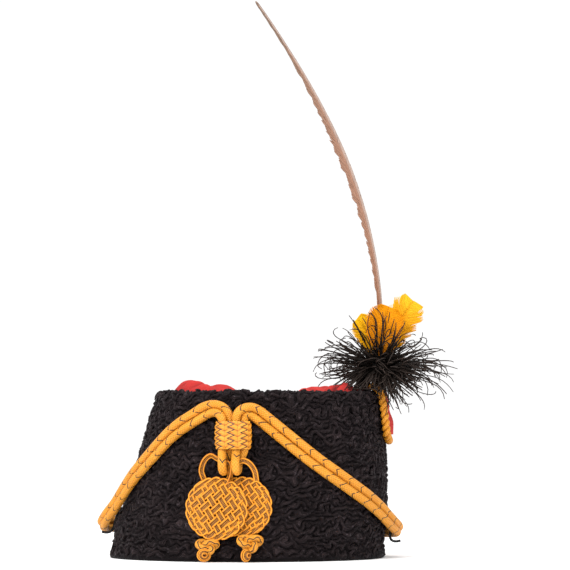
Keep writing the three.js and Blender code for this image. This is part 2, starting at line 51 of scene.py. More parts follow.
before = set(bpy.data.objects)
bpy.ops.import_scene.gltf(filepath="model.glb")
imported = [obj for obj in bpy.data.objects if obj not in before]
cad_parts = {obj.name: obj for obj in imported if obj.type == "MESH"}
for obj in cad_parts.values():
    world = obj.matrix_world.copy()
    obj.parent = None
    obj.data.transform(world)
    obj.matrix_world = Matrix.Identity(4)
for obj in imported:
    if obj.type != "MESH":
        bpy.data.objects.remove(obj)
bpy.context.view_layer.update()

# The hat's middle in the shared frame: the fur wall leans, which moves the middle of its box
FUR_LOW, FUR_HIGH = (np.array(corner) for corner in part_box("fur_body"))
LEAN_OF_BOX = 0.61
HAT_MIDDLE = (FUR_LOW + FUR_HIGH) / 2 * (1, 1, 0) - (LEAN_OF_BOX / 1000, 0, 0)

# Driving dimensions, as the frame was built
HEIGHT = 132.0
WALL = 9.0
HALF_WIDTH, HALF_DEPTH = 110.0, 92.0
TOP_HALF_WIDTH, TOP_HALF_DEPTH = 89.5, 74.0
TOP_SHIFT = 17.6
BELLY = 1.2
RIM_RADIUS = 4.3
FOOT_RADIUS = 2.0
MEAN_RADIUS = 100.0
GAP = 0.35
CROWN = {"level": 127.0, "sag": 4.0, "tuck": 22.0, "edge_power": 14, "cloth": 2.0, "pleats": 23,
         "pleat_depth": 2.1}
TAIL = {"middle": -4.0, "half_width": 20.0, "bottom": 93.0, "round": 11.0, "bulge": 3.2}
BAG_CORD = {"radius": 3.4, "strand": 1.802, "pitch": 10.5}
LINE = {"radius": 3.35, "pitch": 6.9, "turn": 15, "relief": 0.11}
SLIDE = {
    "x": -8.2, "yaw": 12, "bottom": 86.5, "top": 108.2, "straight": 5.8, "radius": 7.8, "bore": 6.9,
    "out": 8.5, "bulge": 0.5,
}
STRAND = {"pitch": 5.4, "stagger": 2.1}
BIGHT = {"front_out": 15, "rear_out": 4.2, "bottom": 69.6, "left_across": -7.2, "right_across": 3.2}
WEAVE = {"across": 6, "along": 5, "turn": -9}
PLUME = {"x": 104.0, "lean": 5.0, "head_height": 18.0, "head_radius": 8.2}
CAMERA = {"distance": 2400.0, "height": 105.0, "x": 30.0, "aim": 217.2, "focal_pixels": 3000.0,
          "pixels": 570.0}


def colour_of(name, description, default):
    """A colour that the panel shows."""
    return FloatVectorProperty(name=name, description=description, default=default, subtype="COLOR")


def size_of(name, description, default):
    """A length in metres that the panel shows."""
    return FloatProperty(name=name, description=description, default=default, unit="LENGTH")


class FurSettings(PropertyGroup):
    curl_width: size_of("Curl width", "Distance between two ridges of curls", 0.0046)
    curl_depth: size_of("Curl depth", "How deep the valleys between curls are", 0.0026)
    curls: IntProperty(name="Curls", description="Loose curls on each half of the wall", default=1000)
    # dark is painted shade in the valleys, light is painted sheen on the ridges
    dark: colour_of("Dark", "Colour in the valleys", (0.0022, 0.0015, 0.0015))
    light: colour_of("Light", "Colour on the ridges", (0.036, 0.0248, 0.0258))
    # a painted highlight on single hairs
    painted_glint: colour_of("Glint", "Colour of single shining hairs", (0.115, 0.092, 0.104))
    hide: colour_of("Hide", "Colour of the skin inside the hat", (0.055, 0.034, 0.022))


class ClothSettings(PropertyGroup):
    red: colour_of("Red", "Colour of the bag's cloth", (0.40, 0.028, 0.025))
    faded: colour_of("Faded red", "Colour where the nap is worn", (0.52, 0.062, 0.050))
    # fold is painted shade down in the folds and pleats and near the rim
    fold: colour_of("Fold", "Colour down in the folds", (0.085, 0.010, 0.011))


class CordSettings(PropertyGroup):
    gold: colour_of("Gold", "Colour of the yellow cord", (0.75, 0.302, 0.012))
    # shade is painted shade between the threads, in the slide's grooves and at the sides of the gimp's cords
    shade: colour_of("Shade", "Colour between its threads", (0.40, 0.103, 0.002))
    worn: colour_of("Worn", "Colour where the cord is rubbed pale", (0.90, 0.42, 0.05))
    fleck: colour_of("Fleck", "Colour of the black thread", (0.012, 0.008, 0.006))
    fleck_pitch: size_of("Fleck pitch", "Length of cord between two black marks", 0.0132)


class PlumeSettings(PropertyGroup):
    barbs: IntProperty(name="Barbs", description="Ostrich barbs in the tuft", default=460)
    barbules: IntProperty(name="Barbules", description="Side hairs on each ostrich barb", default=34)
    black: colour_of("Black", "Colour of the ostrich barbs", (0.0045, 0.0028, 0.0022))
    yellow: colour_of("Yellow", "Colour of the right short feather", (0.76, 0.32, 0.003))
    brown: colour_of("Brown", "Colour of the long feather", (0.29, 0.158, 0.108))


def placed(points):
    """Metres in the shared frame of points in millimetres in the hat's frame."""
    return np.asarray(points) / 1000 + HAT_MIDDLE


def unit(vectors):
    """Each vector divided by its length."""
    return vectors / np.maximum(np.linalg.norm(vectors, axis=-1, keepdims=True), 1e-12)


def smoothstep(value, low, high):
    """0 below low, 1 above high, 3t^2 - 2t^3 between them."""
    share = np.clip((value - low) / (high - low), 0, 1)
    return share * share * (3 - 2 * share)


def oval(height):
    """The hat's outline at a height: its middle and half sizes run straight from base to top, plus a belly
    of a half sine wave."""
    share = height / HEIGHT
    swell = BELLY * np.sin(np.pi * np.clip(share, 0, 1))
    return (
        TOP_SHIFT * share + swell,
        HALF_WIDTH + (TOP_HALF_WIDTH - HALF_WIDTH) * share + swell,
        HALF_DEPTH + (TOP_HALF_DEPTH - HALF_DEPTH) * share + swell,
    )


def beside(angle, height, out):
    """A point of the oval grown by out: (middle + (width + out) sin a, -(depth + out) cos a, height)."""
    angle, height, out = np.broadcast_arrays(*(np.asarray(x, float) for x in (angle, height, out)))
    middle, width, depth = oval(height)
    turn = np.radians(angle)
    return np.stack([middle + (width + out) * np.sin(turn), -(depth + out) * np.cos(turn), height], -1)


def away(angle):
    """The level direction out of the fur at an angle: (sin a, -cos a, 0)."""
    turn = np.radians(np.asarray(angle, float))
    return np.stack([np.sin(turn), -np.cos(turn), 0 * turn], -1)


def infront(x, height, out):
    """A point across the front: on the oval's front half at x, moved out along -Y."""
    x, height, out = np.broadcast_arrays(*(np.asarray(v, float) for v in (x, height, out)))
    middle, width, depth = oval(height)
    share = np.clip((x - middle) / width, -0.98, 0.98)
    return np.stack([x, -depth * np.sqrt(1 - share * share) - out, height], -1)


def front_out(x, height):
    """The level direction out of the oval's front half at x: the outline's own normal."""
    middle, width, depth = oval(height)
    share = np.clip((x - middle) / width, -0.98, 0.98)
    return unit(np.stack([share / width, -np.sqrt(1 - share * share) / depth, 0 * x], -1))


def plate(across, height, out):
    """A point of the flat stretch at the slide: across it, up it and out from the fur, turned by yaw."""
    across, height, out = np.broadcast_arrays(*(np.asarray(v, float) for v in (across, height, out)))
    yaw = math.radians(SLIDE["yaw"])
    base = infront(SLIDE["x"], height, 0.0)
    base[..., 0] += across * math.cos(yaw) - out * math.sin(yaw)
    base[..., 1] -= across * math.sin(yaw) + out * math.cos(yaw)
    return base


def spline(points, steps):
    """A centripetal Catmull-Rom curve: between two points a Hermite cubic whose end slopes weigh the
    neighbouring chords by the square roots of their lengths, with steps samples to each chord."""
    points = np.asarray(points, float)
    ends = np.vstack([2 * points[:1] - points[1:2], points, 2 * points[-1:] - points[-2:-1]])
    chord = np.diff(ends, axis=0)
    pace = np.sqrt(np.linalg.norm(chord, axis=1))[:, None]
    here = pace[1:-1]
    rise = chord / pace
    sag = (ends[2:] - ends[:-2]) / (pace[:-1] + pace[1:])
    start = (rise[:-2] - sag[:-1] + rise[1:-1]) * here
    finish = (rise[1:-1] - sag[1:] + rise[2:]) * here
    share = np.linspace(0, 1, steps, endpoint=False)[None, :, None]
    low, high = points[:-1, None], points[1:, None]
    curve = (
        (2 * share**3 - 3 * share**2 + 1) * low
        + (share**3 - 2 * share**2 + share) * start[:, None]
        + (3 * share**2 - 2 * share**3) * high
        + (share**3 - share**2) * finish[:, None]
    )
    return np.vstack([curve.reshape(-1, 3), points[-1:]])


def lengths(path):
    """The length along a path at each of its points, for one path or a stack of them."""
    step = np.linalg.norm(np.diff(path, axis=-2), axis=-1)
    return np.concatenate([np.zeros(step.shape[:-1] + (1,)), np.cumsum(step, -1)], -1)


def evenly(path, step):
    """The path again, its points about one step apart."""
    along = lengths(path)
    marks = np.linspace(0, along[-1], max(2, round(along[-1] / step) + 1))
    return np.stack([np.interp(marks, along, path[:, axis]) for axis in range(3)], -1)


def carried(path, first):
    """Directions across a path that turn as little as they can: each is the last one, less its part along
    the path."""
    along = unit(np.gradient(path, axis=0))
    ups = np.empty_like(path)
    up = np.asarray(first, float)
    for station, tangent in enumerate(along):
        up = unit(up - tangent * np.dot(up, tangent))
        ups[station] = up
    return ups


def circle(sides):
    """A profile of points on the unit circle."""
    turn = np.arange(sides) / sides * 2 * np.pi
    return np.stack([np.cos(turn), np.sin(turn)], -1)


class Shape:
    """Points, polygons and the polygons' corner UVs, gathered from several surfaces."""

    def __init__(self):
        self.points, self.faces, self.uvs, self.values = [], [], [], {}
        self.count = 0

    def add(self, points, faces, uvs, **values):
        """One more surface. values are numbers that its points carry for the material, each spread over
        the points' own grid."""
        spread = points.shape[:-1]
        points = points.reshape(-1, 3)
        self.points.append(points)
        self.faces += [face + self.count for face in faces]
        self.uvs += uvs
        for name, value in values.items():
            self.values.setdefault(name, []).append(np.broadcast_to(value, spread).ravel())
        self.count += len(points)
        return self

    def piece(self, name, material, slot, replaces=()):
        """The mesh object of everything gathered, riding on the root body."""
        mesh = bpy.data.meshes.new(name)
        points = placed(np.vstack(self.points))
        sizes = np.concatenate([np.full(len(face), face.shape[1]) for face in self.faces])
        mesh.vertices.add(len(points))
        mesh.vertices.foreach_set("co", points.astype(np.float32).ravel())
        mesh.loops.add(int(sizes.sum()))
        mesh.loops.foreach_set("vertex_index", np.concatenate([face.ravel() for face in self.faces]))
        mesh.polygons.add(len(sizes))
        mesh.polygons.foreach_set("loop_start", np.cumsum(sizes) - sizes)
        mesh.update(calc_edges=True)
        layer = mesh.uv_layers.new(name="UVMap")
        layer.data.foreach_set("uv", np.concatenate([uv.reshape(-1, 2) for uv in self.uvs]).ravel())
        for key, parts in self.values.items():
            attribute = mesh.attributes.new(key, "FLOAT", "POINT")
            attribute.data.foreach_set("value", np.concatenate(parts).astype(np.float32))
        mesh.polygons.foreach_set("use_smooth", np.ones(len(sizes), bool))
        mesh.materials.append(material)
        mesh.validate()
        piece = bpy.data.objects.new(name, mesh)
        bpy.context.scene.collection.objects.link(piece)
        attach(piece, "root")
        if replaces:
            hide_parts(*replaces)
        return piece


def table(names, text):
    """Rows of a short text table as dictionaries with these names."""
    return [dict(zip(names.split(), map(float, row.split()))) for row in text.strip().splitlines()]


def grid(rows, columns, ring_rows=False, along=None):
    """Quads of a grid of rows times columns, closed round its columns, and their corners' UVs: U runs 0 to 1
    round a row, V is given for each row by along. ring_rows joins the last row to the first one."""
    row = np.arange(rows if ring_rows else rows - 1)[:, None]
    column = np.arange(columns)[None, :]
    corner_rows = np.stack(np.broadcast_arrays(row, row, row + 1, row + 1), -1)
    corner_columns = np.stack(np.broadcast_arrays(column, column + 1, column + 1, column), -1)
    shape = (row.size, column.size, 4)
    corner_rows = np.broadcast_to(corner_rows, shape)
    corner_columns = np.broadcast_to(corner_columns, shape)
    faces = (corner_rows % rows) * columns + corner_columns % columns
    marks = np.arange(rows + 1, dtype=float) if along is None else np.asarray(along, float)
    if len(marks) == rows:
        marks = np.append(marks, 2 * marks[-1] - marks[-2])
    uvs = np.stack([corner_columns / columns, marks[corner_rows]], -1)
    return faces.reshape(-1, 4), uvs.reshape(-1, 4, 2)


def capped(rows, columns, along=None):
    """A grid closed round its columns, with a flat end on its first and its last row."""
    faces, uvs = grid(rows, columns, along=along)
    ring = np.arange(columns)[None]
    ends = [ring[:, ::-1], ring + (rows - 1) * columns]
    return [faces, *ends], [uvs, *(np.zeros((1, columns, 2)) for _ in ends)]


def sweep(path, half, up, profile, closed=False):
    """A profile carried along one path. At each station the point is path + across * px * half[0] +
    up * py * half[1], where across is up x tangent. half may change along the path."""
    if closed:
        tangent = unit(np.roll(path, -1, 0) - np.roll(path, 1, 0))
    else:
        tangent = unit(np.gradient(path, axis=0))
    up = unit(up - tangent * (up * tangent).sum(-1, keepdims=True))
    across = np.cross(up, tangent)
    half = np.broadcast_to(np.asarray(half, float), (len(path), 2))
    points = (
        path[:, None]
        + across[:, None] * (profile[None, :, :1] * half[:, None, :1])
        + up[:, None] * (profile[None, :, 1:] * half[:, None, 1:])
    )
    along = lengths(path)
    if closed:
        along = np.append(along, along[-1] + np.linalg.norm(path[-1] - path[0]))
        faces, uvs = grid(len(path), len(profile), ring_rows=True, along=along)
        return points, [faces], [uvs]
    return points, *capped(len(path), len(profile), along)


def many(paths, half, up, sides):
    """Round or flattened strands along many paths at once, an array of paths x stations x 3. Their half
    sizes across and up may change from strand to strand and from station to station."""
    strands, stations = paths.shape[:2]
    tangent = unit(np.gradient(paths, axis=1))
    up = np.broadcast_to(up, paths.shape)
    up = unit(up - tangent * (up * tangent).sum(-1, keepdims=True))
    across = np.cross(up, tangent)
    half = np.broadcast_to(half, (strands, stations, 2))
    profile = circle(sides)
    points = (
        paths[:, :, None]
        + across[:, :, None] * (profile[None, None, :, :1] * half[:, :, None, :1])
        + up[:, :, None] * (profile[None, None, :, 1:] * half[:, :, None, 1:])
    )
    faces, uvs = capped(stations, sides)
    shift = (np.arange(strands) * stations * sides)[:, None, None]
    all_faces = [(face[None] + shift).reshape(-1, face.shape[1]) for face in faces]
    all_uvs = [np.broadcast_to(uv[None], (strands, *uv.shape)).reshape(-1, *uv.shape[1:]) for uv in uvs]
    return points, all_faces, all_uvs


class Waves:
    """A smooth random field on the hat's wall or a cloth: the sum of many cosine waves of nearly one
    length, in random directions. Round the wall each wave fits a whole number of times."""

    def __init__(self, length, seed, count=34):
        rng = np.random.default_rng(seed)
        direction = (np.arange(count) + rng.random(count)) / count * math.pi - math.pi / 2
        pace = 2 * np.pi / length * (1 + 0.1 * rng.standard_normal(count))
        self.across = np.round(pace * np.cos(direction) * MEAN_RADIUS) / MEAN_RADIUS
        self.along = pace * np.sin(direction)
        self.phase = rng.random(count) * 2 * np.pi
        self.size = math.sqrt(2 / count)

    def at(self, x, y):
        """The field and its slopes at (x, y): sums of cos(kx x + ky y + phase) and of its derivatives."""
        value, slope_x, slope_y = (np.zeros(np.broadcast(x, y).shape) for _ in range(3))
        for across, along, phase in zip(self.across, self.along, self.phase):
            angle = across * x + along * y + phase
            value += self.size * np.cos(angle)
            slope = -self.size * np.sin(angle)
            slope_x += slope * across
            slope_y += slope * along
        return value, slope_x, slope_y


class Number:
    """A number in a material that changes over the surface. Arithmetic on it adds Math nodes."""

    def __init__(self, shader, socket):
        self.shader, self.socket = shader, socket

    def math(self, operation, *values):
        return self.shader.value("ShaderNodeMath", {"operation": operation}, dict(enumerate(values)))

    def __add__(self, other):
        return self.math("ADD", self, other)

    def __sub__(self, other):
        return self.math("SUBTRACT", self, other)

    def __rsub__(self, other):
        return self.math("SUBTRACT", other, self)

    def __mul__(self, other):
        return self.math("MULTIPLY", self, other)

    def __truediv__(self, other):
        return self.math("DIVIDE", self, other)

    def __rtruediv__(self, other):
        return self.math("DIVIDE", other, self)

    def __mod__(self, other):
        return self.math("FLOORED_MODULO", self, other)

    def __rmod__(self, other):
        return self.math("FLOORED_MODULO", other, self)

    def __abs__(self):
        return self.math("ABSOLUTE", self)

    def sine(self):
        return self.math("SINE", self)

    def between(self, low, high):
        """0 below low, 1 above high, smooth between them; the other way round where low is the higher."""
        turned = low > high
        settings = {"interpolation_type": "SMOOTHSTEP"}
        ends = (high, low, 1.0, 0.0) if turned else (low, high, 0.0, 1.0)
        names = ("From Min", "From Max", "To Min", "To Max")
        return self.shader.value("ShaderNodeMapRange", settings, {"Value": self, **dict(zip(names, ends))})

    __radd__ = __add__
    __rmul__ = __mul__


class Shader:
    """A material on one Principled shader, built from named nodes."""

    def __init__(self, name):
        self.material = bpy.data.materials.new(name)
        self.material.use_nodes = True
        self.tree = self.material.node_tree
        self.surface = self.tree.nodes["Principled BSDF"]

    def node(self, kind, settings=None, sockets=None):
        """A node of that type: its settings come first, then each socket's value or link."""
        node = self.tree.nodes.new(kind)
        for key, value in (settings or {}).items():
            setattr(node, key, value)
        for key, value in (sockets or {}).items():
            self.feed(node.inputs[key], value)
        return node

    def feed(self, socket, value):
        """A link where value comes from a node, else the socket's own value."""
        if isinstance(value, Number):
            value = value.socket
        if isinstance(value, bpy.types.NodeSocket):
            self.tree.links.new(value, socket)
        elif hasattr(value, "__len__") and len(value) == 3 and socket.type == "RGBA":
            socket.default_value = (*value, 1)
        else:
            socket.default_value = value

    def value(self, kind, settings=None, sockets=None, output=0):
        return Number(self, self.node(kind, settings, sockets).outputs[output])

    def attribute(self, name):
        return self.value("ShaderNodeAttribute", {"attribute_name": name}, output="Fac")

    def uv(self):
        """U and V of the piece's own UV map."""
        source = self.node("ShaderNodeTexCoord").outputs["UV"]
        parts = self.node("ShaderNodeSeparateXYZ", None, {0: source})
        return Number(self, parts.outputs[0]), Number(self, parts.outputs[1])

    def noise(self, scale, detail=2.0, roughness=0.5):
        """Noise on Object coordinates, with scale features to a metre."""
        place = self.node("ShaderNodeTexCoord").outputs["Object"]
        sockets = {"Vector": place, "Scale": scale, "Detail": detail, "Roughness": roughness}
        return self.value("ShaderNodeTexNoise", None, sockets, output="Fac")

    def stripes(self, place):
        """0 to 1 and back as place goes through each whole turn of 2 pi: (1 + sin place) / 2."""
        return place.sine() * 0.5 + 0.5

    def mix(self, share, first, second):
        """A colour between two, by a number from 0 to 1."""
        return self.node("ShaderNodeMix", {"data_type": "RGBA"}, {0: share, 6: first, 7: second}).outputs[2]

    def bump(self, height, distance, strength):
        """A normal from a height in units of distance, in metres."""
        sockets = {"Height": height, "Distance": distance, "Strength": strength}
        return self.node("ShaderNodeBump", None, sockets).outputs[0]

    def finish(self, **sockets):
        """Feeds the surface's sockets by name, underscores for spaces, and gives the material."""
        for key, value in sockets.items():
            self.feed(self.surface.inputs[key.replace("_", " ")], value)
        return self.material


# Materials

def fur_material(settings, on_curls):
    """Black lamb: painted shade makes the valleys near black and painted sheen makes the ridges purplish,
    mixed with random patches and fine hairs, and painted glints light single hairs. The wall's hairs follow
    its curl field, a loose curl's hairs run along its own length."""
    shader = Shader("curl_fur" if on_curls else "wall_fur")
    patch = shader.noise(45, 3)
    ridge = shader.attribute("ridge")
    if on_curls:
        hair = shader.stripes(shader.uv()[0] * (2 * math.pi * 7) + shader.noise(260) * 5)
    else:
        hair = shader.stripes(shader.attribute("field") * 5 + shader.noise(300) * 5)
    fibre = shader.noise(1500, 3, 0.6)
    # painted sheen on the ridges and painted shade in the valleys, by the ridge mask, mixed with random
    # patches and the hairs' stripes
    painted_sheen_and_tone = (ridge * 0.5 + hair * 0.35 + patch * 0.55 - 0.45).between(0.0, 1.0)
    colour = shader.mix(painted_sheen_and_tone, settings.dark, settings.light)
    # painted glints: small lighter spots on the ridges
    painted_glint = shader.noise(430, 2, 0.6).between(0.56, 0.70) * ridge * (hair * 0.6 + 0.4)
    colour = shader.mix(painted_glint * 0.5, colour, settings.painted_glint)
    if not on_curls:
        colour = shader.mix(shader.attribute("hide"), colour, settings.hide)
    return shader.finish(
        Base_Color=colour,
        Roughness=0.46 + fibre * 0.25,
        Normal=shader.bump(hair * 0.9 + fibre * 0.7, 0.0010, 0.9),
        Specular_IOR_Level=0.11,
        Specular_Tint=(1.0, 0.86, 0.88, 1),
        Sheen_Weight=0.02,
        Sheen_Roughness=0.4,
        Sheen_Tint=(0.62, 0.55, 0.66, 1),
    )


def cloth_material(settings):
    """Woollen cloth with a fulled nap: paler where it is worn, with painted shade down in the folds."""
    shader = Shader("woollen_cloth")
    nap = shader.noise(900, 4, 0.65)
    cloud = shader.noise(38, 3)
    fold = shader.attribute("fold")
    # worn patches are kept out of the folds, which deepens the painted shade there
    worn = (cloud * 0.7 + nap * 0.3 - fold * 0.8).between(0.42, 0.78)
    colour = shader.mix(worn, settings.red, settings.faded)
    # painted shade: the fold colour darkens the folds, the pleats and the cloth near the rim
    return shader.finish(
        Base_Color=shader.mix(fold.between(0.12, 0.95), colour, settings.fold),
        Roughness=0.78 + nap * 0.18,
        Normal=shader.bump(nap, 0.0007, 0.7),
        Sheen_Weight=0.05,
        Sheen_Roughness=0.5,
        Sheen_Tint=(1.0, 0.4, 0.35, 1),
        Specular_IOR_Level=0.06,
    )


def braid(u, v, around, pitch):
    """Height of a round braid: threads cross in two slanted sets, |sin(pi r)| and |sin(pi l)| with r and l =
    around (u +- v / pitch), and each lies on top at every other crossing. around is the number of threads
    round the cord, pitch the rise of one turn in mm."""
    right = ((u * around + v * (around / pitch)) * math.pi).sine()
    left = ((u * around - v * (around / pitch)) * math.pi).sine()
    over = (right * left).between(-0.25, 0.25)
    return abs(right) * over + abs(left) * (1 - over)


def marks_across(shader, u, v, settings):
    """The cap line's black thread: once a pitch it crosses the cord in a toothed line, broken here and
    there. place is how far along its pitch a point is, from 0 to 1, and the line lies at a half."""
    pitch = settings.fleck_pitch * 1000
    tooth = abs((u * 2 + 0.15) % 1 - 0.5)
    place = (v / pitch + tooth * 0.8 + shader.noise(60) * 0.12) % 1
    line = abs(place - 0.5).between(0.050, 0.030)
    return line * ((u * 3 + v / pitch * 0.5) % 1).between(0.10, 0.16)


def marks_along(u, v):
    """A knot's black thread: it winds a little to and fro along the strand's outer side, at u = 1/4."""
    return abs(u - 0.25 + ((v / 5.5) * (2 * math.pi)).sine() * 0.05).between(0.035, 0.02)


def marks_on_plait(shader):
    """The slide's black zigzags, one down each column of its plait. Its points carry their place across a
    column, -0.5 to 0.5, and their height in steps of the plait."""
    tooth = abs(shader.attribute("step") % 1 - 0.5) * 2
    return abs(shader.attribute("column") - (tooth - 0.5) * 0.5).between(0.10, 0.06)


def cord_material(settings, name, marks):
    """Braided yellow cord, rubbed paler in patches. marks says how its black thread runs: across, along, in
    zigzags, or none."""
    shader = Shader(name)
    u, v = shader.uv()
    height = braid(u, v, around=8, pitch=LINE["turn"])
    wear = shader.noise(110, 3)
    # painted shade between the braid's threads
    colour = shader.mix(height.between(0.05, 0.75), settings.shade, settings.gold)
    colour = shader.mix(wear.between(0.45, 0.75) * 0.3, colour, settings.worn)
    if marks == "zigzags":
        relief = shader.attribute("relief")
        height = relief + height * 0.25
        # painted shade in the grooves between the plait's strands
        colour = shader.mix(relief.between(0.0, 0.6), settings.shade, colour)
        colour = shader.mix(marks_on_plait(shader), colour, settings.fleck)
    elif marks == "along":
        colour = shader.mix(marks_along(u, v), colour, settings.fleck)
    elif marks == "across":
        colour = shader.mix(marks_across(shader, u, v, settings), colour, settings.fleck)
    return shader.finish(
        Base_Color=colour,
        Roughness=0.40 + wear * 0.2,
        Normal=shader.bump(height, 0.0008, 0.7),
        Specular_IOR_Level=0.42,
        Sheen_Weight=0.03,
        Sheen_Tint=(1.0, 0.75, 0.35, 1),
    )


BAND_COLOURS = {"black": (0.030, 0.011, 0.002), "fleck": (0.50, 0.18, 0.006)}


def gimp_material(settings):
    """Gimp braid: two round gold cords, wound round and round with fine thread, and between them a flat
    band of black thread with gold flecks. side is the place across it, from -1 to 1."""
    shader = Shader("flecked_gimp")
    v = shader.uv()[1]
    side = shader.attribute("side")
    band = abs(side).between(0.47, 0.39)
    wound = shader.stripes(v * (2 * math.pi / 0.62) + side * 3)
    noise = shader.noise(420)
    rung = shader.stripes(v * (2 * math.pi / 1.15) + side * 1.6)
    gold_fleck = (rung + noise * 0.5 + shader.noise(70) * 0.9).between(0.95, 1.35)
    inner = abs(side).between(0.40, 0.30)
    weave = shader.mix(gold_fleck * inner, BAND_COLOURS["black"], BAND_COLOURS["fleck"])
    # painted highlight and shade: a lighter copy of the gold along each cord's crest, the shade colour at
    # its sides
    lit_gold = tuple(min(1.0, channel * 1.22) for channel in settings.gold)
    crest = abs(abs(side) - 0.71).between(0.27, 0.12)
    cord = shader.mix((wound * 0.35 + noise * 0.4 + 0.35) * crest, settings.shade, lit_gold)
    return shader.finish(
        Base_Color=shader.mix(band, cord, weave),
        Roughness=0.40 + noise * 0.2,
        Normal=shader.bump(wound * 0.6 + gold_fleck * band, 0.0004, 0.7),
        Specular_IOR_Level=0.42,
        Sheen_Weight=0.02,
        Sheen_Tint=(1.0, 0.75, 0.35, 1),
    )


def feather_material(name, root, blade, tip, pale_edge=None):
    """Feather: the colour runs from the root over the blade to the tip, each barb has a tone of its own, and
    the right edge may be pale."""
    shader = Shader(name)
    share = shader.attribute("share")
    grain = shader.noise(900, 3, 0.6)
    colour = shader.mix(share.between(0.1, 0.5), root, blade)
    colour = shader.mix(share.between(0.55, 1.0), colour, tip)
    dark = shader.attribute("tone").between(0.2, 1.0) * 0.35 + grain.between(0.5, 0.8) * 0.2
    colour = shader.mix(dark, colour, tuple(channel * 0.55 for channel in blade))
    if pale_edge:
        colour = shader.mix(shader.attribute("edge").between(0.1, 0.45), colour, pale_edge)
    return shader.finish(
        Base_Color=colour,
        Roughness=0.55 + grain * 0.2,
        Normal=shader.bump(grain, 0.0002, 0.5),
        Specular_IOR_Level=0.1,
        Sheen_Weight=0.01,
    )


def ostrich_material(settings):
    """Ostrich: brownish black, browner and greyer towards the barbs' tips."""
    shader = Shader("ostrich_black")
    share = shader.attribute("share")
    tone = shader.attribute("tone")
    pale = share.between(0.3, 1.0) * 0.65 + tone * share * 0.4
    return shader.finish(
        Base_Color=shader.mix(pale, settings.black, (0.030, 0.020, 0.016)),
        Roughness=0.5 + tone * 0.2,
        Specular_IOR_Level=0.14,
    )


def wire_material():
    """Blackened wire, rubbed to bare metal in places."""
    shader = Shader("black_wire_finish")
    rub = shader.noise(600, 4, 0.7)
    return shader.finish(
        Base_Color=shader.mix(rub.between(0.55, 0.8), (0.012, 0.012, 0.013), (0.048, 0.048, 0.052)),
        Roughness=0.35 + rub * 0.3,
        Metallic=0.7,
        Normal=shader.bump(rub, 0.0001, 0.4),
    )


# Fur

def section():
    """The wall's closed section as (out, height) points: from the outer foot up the face, over the rim's
    half ellipse, down the inside and back along the foot."""
    quarter = np.linspace(0, np.pi / 2, 8)
    half = np.linspace(0, np.pi, 26)
    top = HEIGHT - RIM_RADIUS
    straight = np.linspace(FOOT_RADIUS, top, 60)
    turned = FOOT_RADIUS * np.stack([np.sin(quarter) - 1, 1 - np.cos(quarter)], -1)
    face = np.stack([0 * straight, straight], -1)
    rim = np.stack([WALL / 2 * (np.cos(half) - 1), top + RIM_RADIUS * np.sin(half)], -1)
    inside = np.stack([0 * straight - WALL, straight[::-1]], -1)
    heel = FOOT_RADIUS * np.stack([1 - np.cos(quarter), 1 - np.sin(quarter)], -1) - (WALL, 0)
    return np.vstack([turned[:-1], face[:-1], rim[:-1], inside[:-1], heel])


SECTION = section()
SECTION_ARC = np.concatenate([[0], np.cumsum(np.linalg.norm(np.diff(SECTION, axis=0), axis=1))])
FACE_END = FOOT_RADIUS * math.pi / 2 + HEIGHT - RIM_RADIUS - FOOT_RADIUS
RIM_END = FACE_END + math.pi * (WALL / 2 + RIM_RADIUS) / 2


def on_wall(angle, arc, lift):
    """A point over the wall's section at an arc length from its foot, lifted along its normal."""
    slope = np.gradient(SECTION, SECTION_ARC, axis=0)
    out, height, rise_out, rise_height = (
        np.interp(arc, SECTION_ARC, column) for column in (*SECTION.T, *slope.T)
    )
    return beside(angle, height - lift * rise_out, out + lift * rise_height)


# The fur's swirls: the two fields' wave lengths in mm, how strong each is, and between which arc lengths
# from the foot the wide one grows stronger
FIELD = {"wide": 20, "narrow": 8.6, "narrow_share": 1.5, "swirl": 2.2, "more_swirl": 1.1, "low": 25,
         "high": 85}


def curl_field(settings):
    """The phase of the fur's ridges and its slopes: phase = pace * arc + swirl * S + 1.5 * N, where S and N
    are a wide and a narrow random field. Low on the wall the swirl is weaker, so the ridges lie nearly
    level; higher up they wind about."""
    pace = 2 * math.pi / (settings.curl_width * 1000)
    wide, narrow = Waves(FIELD["wide"], seed=11), Waves(FIELD["narrow"], seed=23)

    def field(angle, arc):
        x = np.radians(angle) * MEAN_RADIUS
        swirl = FIELD["swirl"] + FIELD["more_swirl"] * smoothstep(arc, FIELD["low"], FIELD["high"])
        both = zip(wide.at(x, arc), narrow.at(x, arc))
        phase, across, along = (swirl * one + FIELD["narrow_share"] * two for one, two in both)
        return phase + pace * arc, across, along + pace

    return field


# Where the uneven outline swells beside the left hook and draws in under the right one: the middle's angle
# and arc length, how far the fur moves out there, and how wide (in degrees) and long the place is
SWELLS = table("angle arc out width length", """
    270 29 3.0 24 9
    90 14 -2.2 24 10
""")


def side_swell(angle, arc):
    """How far the fur moves out: at each swell a bell exp(-(angle / width)^2 - (arc / length)^2)."""
    out = 0
    for row in SWELLS:
        aside = ((angle - row["angle"] + 180) % 360 - 180) / row["width"]
        along = (arc - row["arc"]) / row["length"]
        out = out + row["out"] * np.exp(-aside**2 - along**2)
    return out


